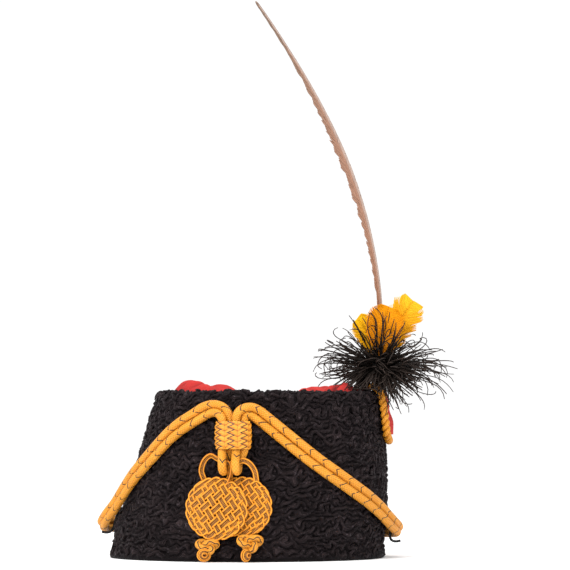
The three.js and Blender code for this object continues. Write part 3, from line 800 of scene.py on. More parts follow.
def fur_wall(settings, material, field):
    """The wall with its fixed curls: lift = depth * (ridge - 1) with ridge = ((1 + sin phase) / 2)^0.6, so
    narrow valleys run between rounded, winding ridges; two smaller random fields roughen them."""
    columns, outer_rows, inner_rows = 610, 128, 14
    outer = np.linspace(0, RIM_END, outer_rows)
    inner = np.linspace(RIM_END, SECTION_ARC[-1], inner_rows)[1:]
    arc = np.concatenate([outer, inner])[:, None]
    angle = (np.arange(columns) / columns * 360)[None]
    x = np.radians(angle) * MEAN_RADIUS
    phase = field(angle, arc)[0]
    lumps = Waves(8.5, seed=5).at(x, arc)[0]
    fine = Waves(3.6, seed=6).at(x, arc)[0]
    ridge = (0.5 + 0.5 * np.sin(phase)) ** 0.6
    weight = smoothstep(arc, 1.5, 7) * smoothstep(arc, RIM_END, RIM_END - 6)
    depth = settings.curl_depth * 1000
    lift = weight * (0.2 + depth * (ridge - 1) * (1 + 0.3 * lumps) + 0.42 * lumps + 0.32 * fine)
    points = on_wall(angle, arc, lift + side_swell(angle, arc))
    faces, uvs = grid(*phase.shape, ring_rows=True)
    hide = smoothstep(arc, RIM_END - 1, RIM_END + 6)
    # ridge also places the material's painted sheen and valley shade
    shape = Shape().add(points, [faces], [uvs], field=phase, ridge=ridge * weight, hide=hide)
    shape.piece("fur_wall", material, "black_lamb_fur", ["fur_body"])


def loose_curls(settings, material, field, name, first, seed):
    """Flattened locks that lie on the ridges and follow them: each starts at a random place, slides to the
    nearest crest, and is traced both ways across the phase's slope, reach stations of one step each. They
    bow out by sqrt(sin(pi share)) between their sunk ends."""
    rng = np.random.default_rng(seed)
    count, reach, step = settings.curls, 5, 1.45
    angle = first + (np.arange(count) + rng.random(count)) / count * 180
    arc = rng.random(count) * (RIM_END - 9) + 4.5
    degrees = 180 / math.pi / MEAN_RADIUS
    for _ in range(3):
        phase, across, along = field(angle, arc)
        behind = (phase - math.pi / 2 + math.pi) % (2 * math.pi) - math.pi
        climb = np.clip(-behind / np.maximum(across**2 + along**2, 0.3), -2, 2)
        angle = angle + climb * across * degrees
        arc = np.clip(arc + climb * along, 4, RIM_END - 3)
    stations = {0: (angle, arc)}
    bend = rng.normal(0, 0.07, count)
    for way in (-1, 1):
        here, there = angle, arc
        for station in range(1, reach + 1):
            _, across, along = field(here, there)
            turned = np.arctan2(across, -along) + bend * station
            here = here + way * step * np.cos(turned) * degrees
            there = np.clip(there + way * step * np.sin(turned), 3.2, RIM_END - 1)
            stations[way * station] = (here, there)
    order = range(-reach, reach + 1)
    angles = np.stack([stations[i][0] for i in order], 1)
    arcs = np.stack([stations[i][1] for i in order], 1)
    share = np.linspace(0, 1, 2 * reach + 1)[None]
    bow = np.sin(np.pi * share) ** 0.5
    wavy = 0.35 * np.sin(share * rng.uniform(6, 16, (count, 1)) + rng.uniform(0, 6.28, (count, 1)))
    size = rng.uniform(0.6, 1.15, (count, 1))
    lift = -1.7 + bow * (rng.uniform(1.1, 2.2, (count, 1))) + wavy
    paths = on_wall(angles, arcs, lift + side_swell(angles, arcs))
    radius = (0.12 + 0.98 * bow * size)[..., None] * np.array([1.15, 0.75])
    points, faces, uvs = many(paths, radius, away(angles), 5)
    points[..., 2] = np.maximum(points[..., 2], 0.25)
    # ridge is highest where a curl bows out, for the painted sheen on it
    shape = Shape().add(points, faces, uvs, ridge=(0.3 + 0.7 * bow * size)[..., None])
    shape.piece(name, material, "black_lamb_fur")


# Bag

PUFFS = table("x y spread rise", """
    -48 -12 20 15.6
    -29 -28 15 5.4
    -8 -34 22 4.8
    48 -38 19 8.0
    80 -20 21 13.5
    -22 36 26 11
    62 36 24 11
""")
CREASES = table("x y turn width length depth", """
    68 -36 70 2.6 15 4.2
    90 -22 40 2.6 14 3.0
    -26 -26 115 3.2 14 1.6
    -52 -20 60 3.0 12 2.4
    30 20 20 4.0 30 2.6
    -5 30 100 3.6 24 2.8
    44 44 75 3.4 18 3.0
    4 4 -35 3.6 30 3.4
    52 -4 15 3.2 22 3.0
    -46 16 -60 3.4 18 3.2
""")
DEEPEST_CREASE = 4.2


def crown_level(x, y):
    """The crown's height: a dish, raised by a bell exp(-r^2 / spread^2) at each puff, and sunk along each
    crease by exp(-(across / width)^2 - (along / length)^2). Also how deep in a fold each point is."""
    level = CROWN["level"] - CROWN["sag"] * np.exp(-(np.hypot(x - TOP_SHIFT, y) / 40) ** 2)
    for puff in PUFFS:
        square = (x - puff["x"]) ** 2 + (y - puff["y"]) ** 2
        level = level + puff["rise"] * np.exp(-square / puff["spread"] ** 2)
    fold = 0 * x
    for crease in CREASES:
        turn = math.radians(crease["turn"])
        right, up = x - crease["x"], y - crease["y"]
        along = (right * math.cos(turn) + up * math.sin(turn)) / crease["length"]
        across = (up * math.cos(turn) - right * math.sin(turn)) / crease["width"]
        dip = np.exp(-across**2 - along**2)
        level = level - crease["depth"] * dip
        # fold places the cloth's painted shade along each crease
        fold = np.maximum(fold, dip * crease["depth"] / DEEPEST_CREASE)
    ripple = Waves(30, seed=3, count=16).at(x, y)[0]
    small = Waves(11, seed=9, count=20).at(x, y)[0]
    return level + 0.9 * ripple + 0.28 * small, fold


def crown_ring(reach, drop, inset, angle):
    """Rings of the crown: inside the rim the level is the dish's, gathered into uneven pleats towards its
    edge and drawn to the rim's height by reach to a high power; past the rim the cloth runs straight down
    inside the wall."""
    edge = beside(angle, HEIGHT - drop, -WALL - 2 * GAP - inset)
    middle = oval(HEIGHT - drop)[0]
    x = middle + (edge[..., 0] - middle) * reach
    y = edge[..., 1] * reach
    level, fold = crown_level(x, y)
    pull = reach ** CROWN["edge_power"]
    turn = np.radians(angle)
    pleat = CROWN["pleats"] * turn + 2.2 * np.sin(3 * turn) + 1.4 * np.sin(7 * turn + 1)
    pleat = 0.5 + 0.5 * np.sin(pleat)
    gather = smoothstep(reach, 0.5, 0.86) * (1 - pull)
    level = level - CROWN["pleat_depth"] * gather * pleat**2
    height = np.where(reach < 1, level + (HEIGHT - 5 - level) * pull, edge[..., 2])
    # the pleats and the cloth near the rim also take painted shade
    fold = np.maximum(fold * (1 - pull), 0.55 * gather * pleat**3)
    return np.stack([x, y, height - inset], -1), np.maximum(fold, 0.45 * smoothstep(reach, 0.8, 0.97))


def crown(shape):
    """The crown's cloth, out over the top and back underneath: one closed skin through its rings."""
    columns, under = 176, CROWN["cloth"]
    angle = (np.arange(columns) / columns * 360)[None]
    reaches = np.concatenate([np.linspace(0.02, 0.9, 36), np.linspace(0.915, 0.995, 9)])
    drops = np.linspace(8, CROWN["tuck"], 7)
    rows = [(reach, 4, 0) for reach in reaches] + [(1, drop, 0) for drop in drops]
    rows += [(1, drop - under, under) for drop in drops[::-1]]
    rows += [(reach, 4, under) for reach in reaches[::-1]]
    reach, drop, inset = (np.array(column, float)[:, None] for column in zip(*rows))
    points, fold = crown_ring(reach, drop, inset, angle)
    faces, uvs = capped(len(rows), columns)
    shape.add(points, *turned_out(faces, uvs), fold=fold)


def turned_out(faces, uvs):
    """The same polygons, seen from their other side."""
    return [face[:, ::-1] for face in faces], [uv[:, ::-1] for uv in uvs]


# The tail's middle line over the rim and down: x and height
TAIL_SPINE = [
    (80, 131), (90, 134.6), (98, 135.9), (105.4, 135.6), (110.2, 132), (111.4, 126), (111.8, 120),
    (112.2, 113), (112.8, 106), (113.3, 101), (113.6, 97.5),
]


def tail(shape):
    """The bag's flat tail: a section (share s across, thickness 3, edges rounded by sqrt(1 - s^8)) carried
    over the rim and down, bulging by 1 - s^2 and narrowing to a round end."""
    spine = spline([(x, 0, height) for x, height in TAIL_SPINE], 7)
    along = unit(np.gradient(spine, axis=0))
    outward = np.stack([-along[:, 2], 0 * along[:, 0], along[:, 0]], -1)[:, None]
    half_share = np.sin(np.linspace(-np.pi / 2, np.pi / 2, 22))
    share = np.concatenate([half_share, half_share[::-1]])[None]
    face = np.concatenate([np.ones(22), -np.ones(22)])[None]
    inside = BAG_CORD["radius"] + GAP
    low = np.clip((TAIL["bottom"] + TAIL["round"] - spine[:, 2]) / (TAIL["round"] - inside), 0, 0.97)
    half = (TAIL["half_width"] - inside) * np.sqrt(1 - low * low)[:, None]
    hang = smoothstep(np.linspace(0, 1, len(spine)), 0.45, 0.8)[:, None]
    side = share * half
    ripple = Waves(19, seed=31, count=14).at(side, spine[:, 2:3])[0]
    half_thick = 1.5
    thick = half_thick * (face * np.sqrt(np.maximum(1 - share**8, 0)) - 1)
    puff = TAIL["bulge"] * hang * (1 - share * share) * (face > 0)
    lift = thick + puff + 0.35 * ripple * (1 - share**4) * (face > 0)
    points = spine[:, None] + outward * lift[..., None]
    points[..., 0] -= hang * (TAIL["middle"] + side) ** 2 / 130
    points[..., 1] = TAIL["middle"] + side
    shape.add(points, *turned_out(*capped(len(spine), share.size)), fold=0.0)


# One leg of the edging cord, from under the tuft over the rim and down: x and height
CORD_LEG = [(97.5, 136.2), (102.5, 135), (106.6, 130), (108.2, 122), (109.4, 113), (110.3, 105)]


def bag_edge_route():
    """Down the front side of the tail, round its end and up the back. The front leg lies 0.4 mm nearer to
    the hat's middle than the table says, and the back one 2.2 mm further out."""
    front, back = (
        [(x + swing, TAIL["middle"] + side * TAIL["half_width"], height) for x, height in CORD_LEG]
        for side, swing in ((-1, -0.4), (1, 2.2))
    )
    turn = np.radians([-60, -30, 0, 30, 60])
    y = TAIL["middle"] + TAIL["half_width"] * np.sin(turn)
    foot = np.stack([112.9 - y * y / 200, y, TAIL["bottom"] + TAIL["round"] * (1 - np.cos(turn))], -1)
    return np.vstack([front, foot, back[::-1]])


def edging_cord():
    """A laid cord of two strands, each a helix round the route, with one turn to a pitch."""
    path = evenly(spline(bag_edge_route(), 24), 0.6)
    up = carried(path, (0, 0.3, 1))
    across = np.cross(up, unit(np.gradient(path, axis=0)))
    strand = BAG_CORD["strand"]
    turn = lengths(path)[:, None] / BAG_CORD["pitch"] * 2 * np.pi
    shape = Shape()
    for phase in (turn, turn + np.pi):
        way = across * np.cos(phase) + up * np.sin(phase)
        shape.add(*sweep(path + way * (BAG_CORD["radius"] - strand), (strand, strand), way, circle(12)))
    return shape


# Cap line

# How much further out each strand stands at the side hooks, where the upper one lies behind the lower
HOOK_STAGE = {"upper": 1.4, "lower": -0.8}
# The middle of the doubled cord from the slide to each side hook and round the back
ROUTES = {
    "left": {"turn": -1, "from_slide": True, "rows": table("angle height out", """
        -18.6 113 8.4
        -21.3 116.6 6.8
        -25.3 118 5.4
        -29.6 116.2 4.5
        -35 111 4
        -41 105.2 4
        -47.3 97.6 4
        -53.8 87.6 4
        -60.9 76.6 4.2
        -69.3 64.5 5
        -76.5 52.5 6.0
        -82.5 41.5 7.8
        -88.5 32 11.4
        -95 26 13.6
    """)},
    "right": {"turn": 1, "from_slide": True, "rows": table("angle height out", """
        -11.2 112.4 8.2
        -9.8 115.2 6.8
        -7.2 115.8 5.4
        -4.1 113.4 4.5
        -0.6 109.2 4
        8.8 97.1 4
        17.4 85.9 4
        26.2 75.1 4
        35.4 65.3 4
        45.7 55.1 4
        53.8 47.9 4.2
        64.1 38.6 5
        71.3 31.8 6.2
        80 25.6 8
        88 22.5 9
        95 21 8.6
    """)},
    "back": {"turn": 1, "from_slide": False, "rows": table("angle height out", """
        104 21 6
        120 21.5 4
        137 22 4
        154 22.5 4
        171 23 4
        188 23.5 4
        205 24 4
        222 24.5 4
        240 25 5.0
        255 25.5 13.6
    """)},
}


def strand_of(route, side):
    """One strand of a doubled route, moved sideways along the fur by half a pitch. Over the last three rows
    before the slide the two draw closer and stand one before the other; at the hooks, by a bell round 94
    degrees, they draw closer too and the upper one moves out behind the lower."""
    angle, height, out = np.array([list(row.values()) for row in route["rows"]]).T
    middle = beside(angle, height, out)
    per_row = 200
    slope = unit(np.gradient(spline(middle, per_row), axis=0))[::per_row]
    outward = unit(beside(angle, height, 10) - beside(angle, height, 0))
    across = unit(np.cross(outward, slope))
    sign = side * route["turn"]
    slide = np.maximum(0, 1 - np.arange(len(angle)) / 3) if route["from_slide"] else 0 * angle
    hook = np.exp(-((abs((angle + 180) % 360 - 180) - 94) / 12) ** 2)
    pitch = LINE["pitch"] * (1 - 0.4 * hook) + (STRAND["pitch"] - LINE["pitch"]) * slide
    stage = HOOK_STAGE["upper" if sign * across[-1, 2] > 0 else "lower"]
    forward = sign * STRAND["stagger"] * slide + stage * hook
    return middle + across * (sign * pitch / 2)[:, None] + outward * forward[:, None]


def through_slide(place):
    """A strand's way down the slide, at places 0 to 3 from left to right; 0 and 2 lie in front."""
    across = (place - 1.5) * STRAND["pitch"]
    out = SLIDE["out"] + STRAND["stagger"] * (1 if place % 2 == 0 else -1)
    heights = np.array([SLIDE["top"] + 0.5, SLIDE["top"] - 6, SLIDE["bottom"] + 5, SLIDE["bottom"] - 1])
    return plate(across, heights, out)


def bend_under(across):
    """The bend under the slide: a half circle from the front strand to the rear one."""
    radius = (BIGHT["front_out"] - BIGHT["rear_out"]) / 2
    turn = np.radians([0, 45, 90, 135, 180])
    height = BIGHT["bottom"] + radius * (1 - np.sin(turn))
    return plate(across, height, BIGHT["rear_out"] + radius * (1 + np.cos(turn)))


def cap_line_route():
    """The closed loop, laid double, as the frame's own cord runs."""
    left, right, back = (ROUTES[name] for name in ("left", "right", "back"))
    return np.vstack([
        through_slide(1)[:2][::-1],
        strand_of(left, 1), strand_of(back, 1)[::-1], strand_of(right, 1)[::-1],
        through_slide(2), bend_under(BIGHT["right_across"]), through_slide(3)[::-1],
        strand_of(right, -1), strand_of(back, -1), strand_of(left, -1)[::-1],
        through_slide(0), bend_under(BIGHT["left_across"]), through_slide(1)[2:][::-1],
    ])


def cap_line(material):
    """The cap line: a round braid along its route. Its radius waves by cos 4(a + t) cos 4(a - t), where a is
    the angle round the cord and t turns once in LINE's turn."""
    path = evenly(spline(cap_line_route(), 30), 0.8)
    sides = 24
    points, faces, uvs = sweep(path, (1, 1), carried(path, (0, -1, 0)), circle(sides))
    turn = np.arange(sides)[None] / sides * 2 * np.pi
    twist = lengths(path)[:, None] / LINE["turn"] * 2 * np.pi
    relief = LINE["relief"] * np.cos(4 * (turn + twist)) * np.cos(4 * (turn - twist))
    points = path[:, None] + (points - path[:, None]) * (LINE["radius"] + relief)[..., None]
    Shape().add(points, faces, uvs).piece("cap_line_braid", material, "flecked_gold_cord", ["cap_line"])


PLAIT = {"columns": 7, "step": 4.3, "slant": 1.5, "strand": 1.25, "groove": 0.75}


def slide_plait(material):
    """The slide: a long oval ring, hollow for the strands. Round it run the plait's columns; in each the
    strands slant one way left of its middle and the other way right of it, |sin pi (step + slant |c|)| high
    at the place c across the column, and a groove exp(-((|c| - 1/2) / 0.09)^2) parts the columns."""
    sides, rows = 154, 64
    turn = (np.arange(sides) / sides * 2 * np.pi)[None]
    height = np.linspace(SLIDE["bottom"], SLIDE["top"], rows)[:, None]
    share = (height - SLIDE["bottom"]) / (SLIDE["top"] - SLIDE["bottom"])
    flat = np.sign(np.cos(turn)) * SLIDE["straight"] * np.minimum(1, np.abs(np.cos(turn)) * 3)
    ring = np.stack([flat + SLIDE["radius"] * np.cos(turn), SLIDE["radius"] * np.sin(turn)], -1)[0]
    around = lengths(np.vstack([ring, ring[:1]]))
    column = (around[:-1] - around[-1] / 4) / (around[-1] / PLAIT["columns"])
    column = ((column + 0.5) % 1 - 0.5)[None]
    step = (height - SLIDE["bottom"]) / PLAIT["step"]
    strand = np.abs(np.sin(np.pi * (step + np.abs(column) * PLAIT["slant"])))
    groove = PLAIT["groove"] * np.exp(-((np.abs(column) - 0.5) / 0.09) ** 2)
    lips = 0.9 * np.abs(2 * share - 1) ** 8
    relief = PLAIT["strand"] * strand**0.8 - groove - 0.4 - lips
    radius = SLIDE["radius"] + SLIDE["bulge"] * np.sin(np.pi * share) - 0.3 + relief
    outer = plate(flat + radius * np.cos(turn), height, SLIDE["out"] + radius * np.sin(turn))
    bore = SLIDE["bore"] - 0.2
    inner = plate(flat + bore * np.cos(turn), height[::-16], SLIDE["out"] + bore * np.sin(turn))
    values = {"column": column + 0 * step, "step": step + 0 * column, "relief": strand}
    padding = np.zeros((len(inner), sides))
    values = {name: np.vstack([value, padding]) for name, value in values.items()}
    faces, uvs = grid(rows + len(inner), sides, ring_rows=True)
    shape = Shape().add(np.concatenate([outer, inner]), [faces], [uvs * (1, 0.5)], **values)
    shape.piece("slide_plait", material, "plaited_gold_cord", ["slide"])


# Flounders

FLOUNDERS = [
    {"name": "flounder_left", "x": -22.8, "height": 41, "radius": 24.3, "seat": 2.7, "overlap": 4.9,
     "loop": table("x height out", """
        -31 60 3.4
        -34.5 70 6
        -32 78.6 8.2
        -27.6 81.6 8.6
        -22.8 79.4 9
        -17.6 76.4 9.4
        -13.4 75.8 10.2
        -12.3 73 10.9
        -12.8 66.6 9.8
        -15.5 60 7.6
     """)},
    {"name": "flounder_right", "x": -3, "height": 42.4, "radius": 23.2, "seat": 2.7, "overlap": 0,
     "loop": table("x height out", """
        8 62 3
        6.5 70 5
        2 76.4 8
        -2.5 77.8 9.2
        -7 76.6 9.4
        -10.8 75.6 8.6
        -12.1 72 7.6
        -12.2 66 3.8
        -12 60 2.8
     """)},
]
GIMP = {"half": 2.75, "cord": 0.82}


def gimp_profile():
    """Two round cords and the band between them: three quarters of a circle at each side, joined by a
    lower flat. Also each point's share of the half width, from -1 to 1."""
    turn = np.radians(np.linspace(-138, 138, 9))
    half, cord = GIMP["half"], GIMP["cord"]
    right = np.stack([half - cord + cord * np.cos(turn), cord * np.sin(turn)], -1)
    band = np.array([[1.0, 0.02], [0.0, 0.14], [-1.0, 0.02]])
    profile = np.vstack([right, band, -right, -band])
    return profile, profile[:, 0] / half


def gimp(shape, path, up, closed=False, size=1.0):
    """Gimp braid along a path, its profile scaled by size."""
    profile, side = gimp_profile()
    shape.add(*sweep(path, (size, size), up, profile, closed), side=side)


def rounded_fold(travel, span):
    """A billiard's coordinate: a triangle wave from 0 to span whose turns are rounded off,
    asin(k sin) / asin(k). Also its slope's sign, smooth through each turn."""
    k = 0.93
    turn = np.pi * travel / span
    place = span / 2 * (1 + np.arcsin(k * np.sin(turn - np.pi / 2)) / math.asin(k))
    return place, np.tanh(9 * np.sin(turn))


def flounder(row, material):
    """A round mat of one closed strand. It runs slantwise over a field of across by along cells like a
    billiard ball, x = fold(s, across), y = fold(s + 1/2, along), and lies over and under by cos(2 pi s)
    times its direction's sign. The field is drawn to a disc by x sqrt(1 - y^2 / 2), y sqrt(1 - x^2 / 2)."""
    across, along = WEAVE["across"], WEAVE["along"]
    travel = np.arange(0, 2 * across * along, 1 / 15)
    x, way_x = rounded_fold(travel, across)
    y, way_y = rounded_fold(travel + 0.5, along)
    a, b = 2 * x / across - 1, 2 * y / along - 1
    reach = row["radius"] - GIMP["half"] + 0.3
    disc_x = a * np.sqrt(1 - b * b / 2) * reach
    disc_y = b * np.sqrt(1 - a * a / 2) * reach
    turn = math.radians(WEAVE["turn"])
    right = disc_x * math.cos(turn) - disc_y * math.sin(turn)
    rise = disc_x * math.sin(turn) + disc_y * math.cos(turn)
    over = 0.98 * np.cos(2 * np.pi * travel) * way_x * way_y
    lift = row["seat"] + row["overlap"] * smoothstep(right, -0.85 * row["radius"], -0.25 * row["radius"])
    path = infront(row["x"] + right, row["height"] + rise, lift + over)
    up = front_out(row["x"] + right, row["height"] + rise)
    shape = Shape()
    gimp(shape, path, up, closed=True)
    route = evenly(spline(top_loop(row["loop"]), 30), 0.5)
    gimp(shape, route, carried(route, (0.2, -1, 0)), size=0.82)
    shape.piece(f"{row['name']}_weave", material, "gold_gimp", [row["name"]])


def top_loop(rows):
    """A flounder's top loop: its two first and two last points lie before the fur like the mat, and the
    others on the slide's turned flat."""
    yaw = math.radians(SLIDE["yaw"])
    loop = []
    for number, row in enumerate(rows):
        x, height, out = row.values()
        if 2 <= number < len(rows) - 2:
            loop.append(plate(x - SLIDE["x"] + out * math.sin(yaw), height, out))
        else:
            loop.append(infront(x, height, out))
    return loop


TASSELS = [
    {"side": "left", "x": -29.5, "top": 16.5, "height": 8.6, "half_width": 8.8, "end_x": -32, "turn": 12},
    {"side": "right", "x": 3.2, "top": 19.8, "height": 10.2, "half_width": 9.6, "end_x": 0.4, "turn": 48},
]
KNOT = {"strand": 2.45, "out": 7.0, "depth": 2.3}
END = {"height": 5.7, "out": 10.0, "stretch": 1.12, "size": 0.74}
# The two rings of a tassel's end: radius, how far forwards, and how much the band leans outwards
END_RINGS = ((3.25, 0.0, 0.35), (2.5, 1.5, 0.9))


def tassel_knot(row, material):
    """A fat trefoil knot that faces forwards, one lobe down: across (sin t + 2 sin 2t) / 3, up
    (cos t - 2 cos 2t) / 3, and in and out by sin 3t. These reach 0.87 to each side and 1.55 in height."""
    turn = np.linspace(0, 2 * np.pi, 300, endpoint=False)
    strand = KNOT["strand"]
    wide = (row["half_width"] - strand + 0.5) / 0.87
    tall = (row["height"] + 3.6 - 2 * strand) / 1.55
    x = row["x"] + wide * (np.sin(turn) + 2 * np.sin(2 * turn)) / 3
    height = row["top"] + 1 - strand - 0.58 * tall + tall * (np.cos(turn) - 2 * np.cos(2 * turn)) / 3
    path = infront(x, height, KNOT["out"] - KNOT["depth"] * np.sin(3 * turn))
    forwards = np.array([[0.0, -1, 0]])
    shape = Shape().add(*sweep(path, (strand, strand), forwards, circle(18), closed=True))
    name = f"tassel_knot_{row['side']}"
    shape.piece(f"{name}_plait", material, "plaited_gold_cord", [name])


def tassel_end(row, material):
    """The small end under a knot: a ring of gimp, its band facing forwards, and a second, smaller one before
    it. Their plane is turned about the upright."""
    turn = np.linspace(0, 2 * np.pi, 90, endpoint=False)[:, None]
    yaw = math.radians(row["turn"])
    seat = infront(row["end_x"], END["height"], END["out"])
    face = np.array([math.sin(yaw), -math.cos(yaw), 0])
    side = np.array([math.cos(yaw), math.sin(yaw), 0])
    shape = Shape()
    for radius, forward, lean in END_RINGS:
        ring = np.cos(turn) * side * END["stretch"] + np.sin(turn) * np.array([0, 0, 1.0])
        path = seat + ring * radius + face * forward
        gimp(shape, path, unit(face + ring * lean), closed=True, size=END["size"])
    name = f"tassel_end_{row['side']}"
    shape.piece(f"{name}_loop", material, "gold_gimp", [name])


# Plume

LEAN = math.radians(PLUME["lean"])
PLUME_UP = np.array([math.sin(LEAN), 0, math.cos(LEAN)])
HEAD = np.array([PLUME["x"], TAIL["middle"], HEIGHT]) + PLUME_UP * PLUME["head_height"]


def petal(half):
    """Half width along a petal: a stem, then a blade widest past its middle."""
    return [(0, 0.9), (0.13, 0.9), (0.2, 0.3 * half), (0.35, 0.72 * half), (0.55, half), (0.75, 1.08 * half),
            (0.9, 0.98 * half), (1, 0.5 * half)]


# Foot and bend are places beside the tuft's head, half is the half width by a table of (share of the
# length, half width), and cup is how far a blade's edges stand off its middle. slant is how much of the
# length a barb runs along, ragged and lobe shorten barbs by chance and in waves, and teeth is how many
# torn steps the left edge has.
FEATHERS = {
    "yellow_feather_left": {
        "foot": (-3, 1, 0), "bend": (-2, -2, 26), "tip": (87, -9, 190), "half": petal(10.6),
        "cup": 2, "barbs": 90, "slant": 0.22, "ragged": 0.07, "lobe": 0.0, "shaft": 0.3, "teeth": 0},
    "yellow_feather_centre": {
        "foot": (0, -3.6, 0), "bend": (1, -8, 30), "tip": (113, -15, 199.5), "half": petal(14.2),
        "cup": 3, "barbs": 110, "slant": 0.22, "ragged": 0.04, "lobe": 0.0, "shaft": 0.3, "teeth": 0},
    "yellow_feather_right": {
        "foot": (3.2, 0.6, 0), "bend": (9, 0, 30), "tip": (133, -8, 204.5),
        "half": [(0, 0.9), (0.13, 0.9), (0.2, 4.5), (0.35, 9.5), (0.55, 13.5), (0.75, 16), (0.9, 15),
                 (1, 9)],
        "cup": -3, "barbs": 110, "slant": 0.20, "ragged": 0.08, "lobe": 0.19, "shaft": 0.3, "teeth": 0},
    "tail_quill": {
        "foot": (0, 3.8, 0), "bend": (13, 6, 136), "tip": (6.4, 1, 445.8),
        "half": [(0, 1.2), (0.12, 1.8), (0.19, 2.6), (0.32, 3.0), (0.42, 3.8), (0.58, 4.6), (0.71, 3.6),
                 (0.8, 2.6), (0.88, 1.5), (0.96, 0.9), (1, 0.3)],
        "cup": 0.4, "barbs": 320, "slant": 0.028, "ragged": 0.16, "lobe": 0.0, "shaft": 0.62, "teeth": 27},
}


# Colours of the short feathers from root to tip; the right one's blade is the panel's yellow
DYES = {
    "yellow_feather_left": {
        "root": (0.66, 0.26, 0.002), "blade": (0.80, 0.38, 0.003), "tip": (0.88, 0.48, 0.008)},
    "yellow_feather_centre": {
        "root": (0.38, 0.11, 0.001), "blade": (0.68, 0.225, 0.0005), "tip": (0.74, 0.275, 0.001)},
    "yellow_feather_right": {"root": (0.66, 0.25, 0.002), "blade": None, "tip": (0.84, 0.42, 0.014)},
}
QUILL = {"root": (0.25, 0.12, 0.07), "tip": (0.17, 0.115, 0.085), "edge": (0.34, 0.25, 0.21)}


def feather(name, material, slot, seed):
    """A feather on a quadratic curve from foot to tip. Each barb leaves the shaft, k from 0 to 1, along
    share = s + slant k^1.25 at k times the half width there, lifted by cup k^2. Its length varies by chance,
    in lobes or in saw teeth, so that the edge is ragged. The shaft is a tapered strand."""
    row = FEATHERS[name]
    rng = np.random.default_rng(seed)
    foot, bend = HEAD + row["foot"], HEAD + row["bend"]
    tip = np.array(row["tip"], float)
    half_width = np.array(row["half"]).T

    def spine(share):
        share = np.asarray(share)[..., None]
        return (1 - share) ** 2 * foot + 2 * share * (1 - share) * bend + share**2 * tip

    def frames(share):
        share = np.asarray(share)[..., None]
        along = unit(2 * (1 - share) * (bend - foot) + 2 * share * (tip - bend))
        across = unit(np.cross((0, 1, 0), along))
        return across, np.cross(across, along)

    shape = Shape()
    count = row["barbs"]
    k = np.linspace(0, 1, 7)[None]
    for side in (-1, 1):
        root = np.linspace(0.15, 0.985, count) + rng.normal(0, 0.002, count)
        slant = row["slant"] * np.minimum(1, np.sqrt(np.maximum(1 - root, 0) / row["slant"]))
        slant = np.minimum(slant, 1.0 - root)
        share = root[:, None] + slant[:, None] * k**1.25
        lobes = 1 - row["lobe"] * (0.5 + 0.5 * np.sin(root * 46 + side * 1.3 + np.sin(root * 17)))
        length = lobes * (1 + row["ragged"] * rng.uniform(-1, 0.35, count))
        if row["teeth"] and side < 0:
            length = length * (1.15 - 0.6 * ((root * row["teeth"] + 0.9 * np.sin(root * 19)) % 1))
        elif row["teeth"]:
            length = 0.62 + 0.06 * rng.random(count)
        width = np.interp(np.minimum(share, 1), *half_width)
        across, face = frames(np.minimum(share, 1.02))
        q = k * length[:, None]
        paths = spine(share) + across * (side * q * width)[..., None]
        paths += face * (row["cup"] * q * q + 0.10 * rng.normal(0, 1, (count, 1)) * k)[..., None]
        spacing = np.linalg.norm(spine(root + 1 / count) - spine(root), axis=-1)[:, None]
        barb = np.maximum(0.30, spacing * 0.85) * (1 - 0.75 * k**4) * (0.8 + 0.2 * smoothstep(k, 0, 0.2))
        half = np.stack([barb, np.full_like(barb, 0.13)], -1)
        tone = rng.random(count)[:, None, None]
        shape.add(*many(paths, half, face, 4), share=share[..., None], tone=tone, edge=(side * q)[..., None])
    marks = np.linspace(0, 0.99, 70)
    across, face = frames(marks)
    radius = ((0.95 * (1 - marks) ** 0.8 + 0.16) * row["shaft"] + 0.12)[:, None] * np.ones(2)
    shaft = spine(marks) - face * 0.1
    shape.add(*sweep(shaft, radius, face, circle(8)), share=0.5, tone=0.0, edge=0.0)
    shape.piece(f"{name}_barbs", material, slot, [name])


# Fans of ostrich barbs: from and to of rise and azimuth in degrees (0 is the wearer's left, -90 the front),
# share of all barbs, from and to of length and droop in mm, and how strongly they curl
FANS = table("rise rise_to azimuth azimuth_to share length length_to droop droop_to curl", """
    28 64 -180 180 0.15 26 52 0 8 2.8
    6 36 -180 180 0.17 32 58 3 16 3.0
    -14 12 -180 180 0.13 26 52 4 14 2.8
    -4 36 -60 60 0.11 46 70 6 26 2.8
    -2 36 150 210 0.07 44 66 4 14 3.0
    -60 -26 -80 50 0.016 40 58 4 12 3.0
    46 84 -175 -5 0.055 34 54 0 0 1.2
    -16 8 -150 -62 0.25 30 46 13 25 1.3
    -50 -20 -90 -40 0.06 20 30 2 8 1.3
    -20 6 -80 10 0.07 26 44 4 12 2.8
    -50 -14 30 210 0.05 18 32 2 6 1.8
""")


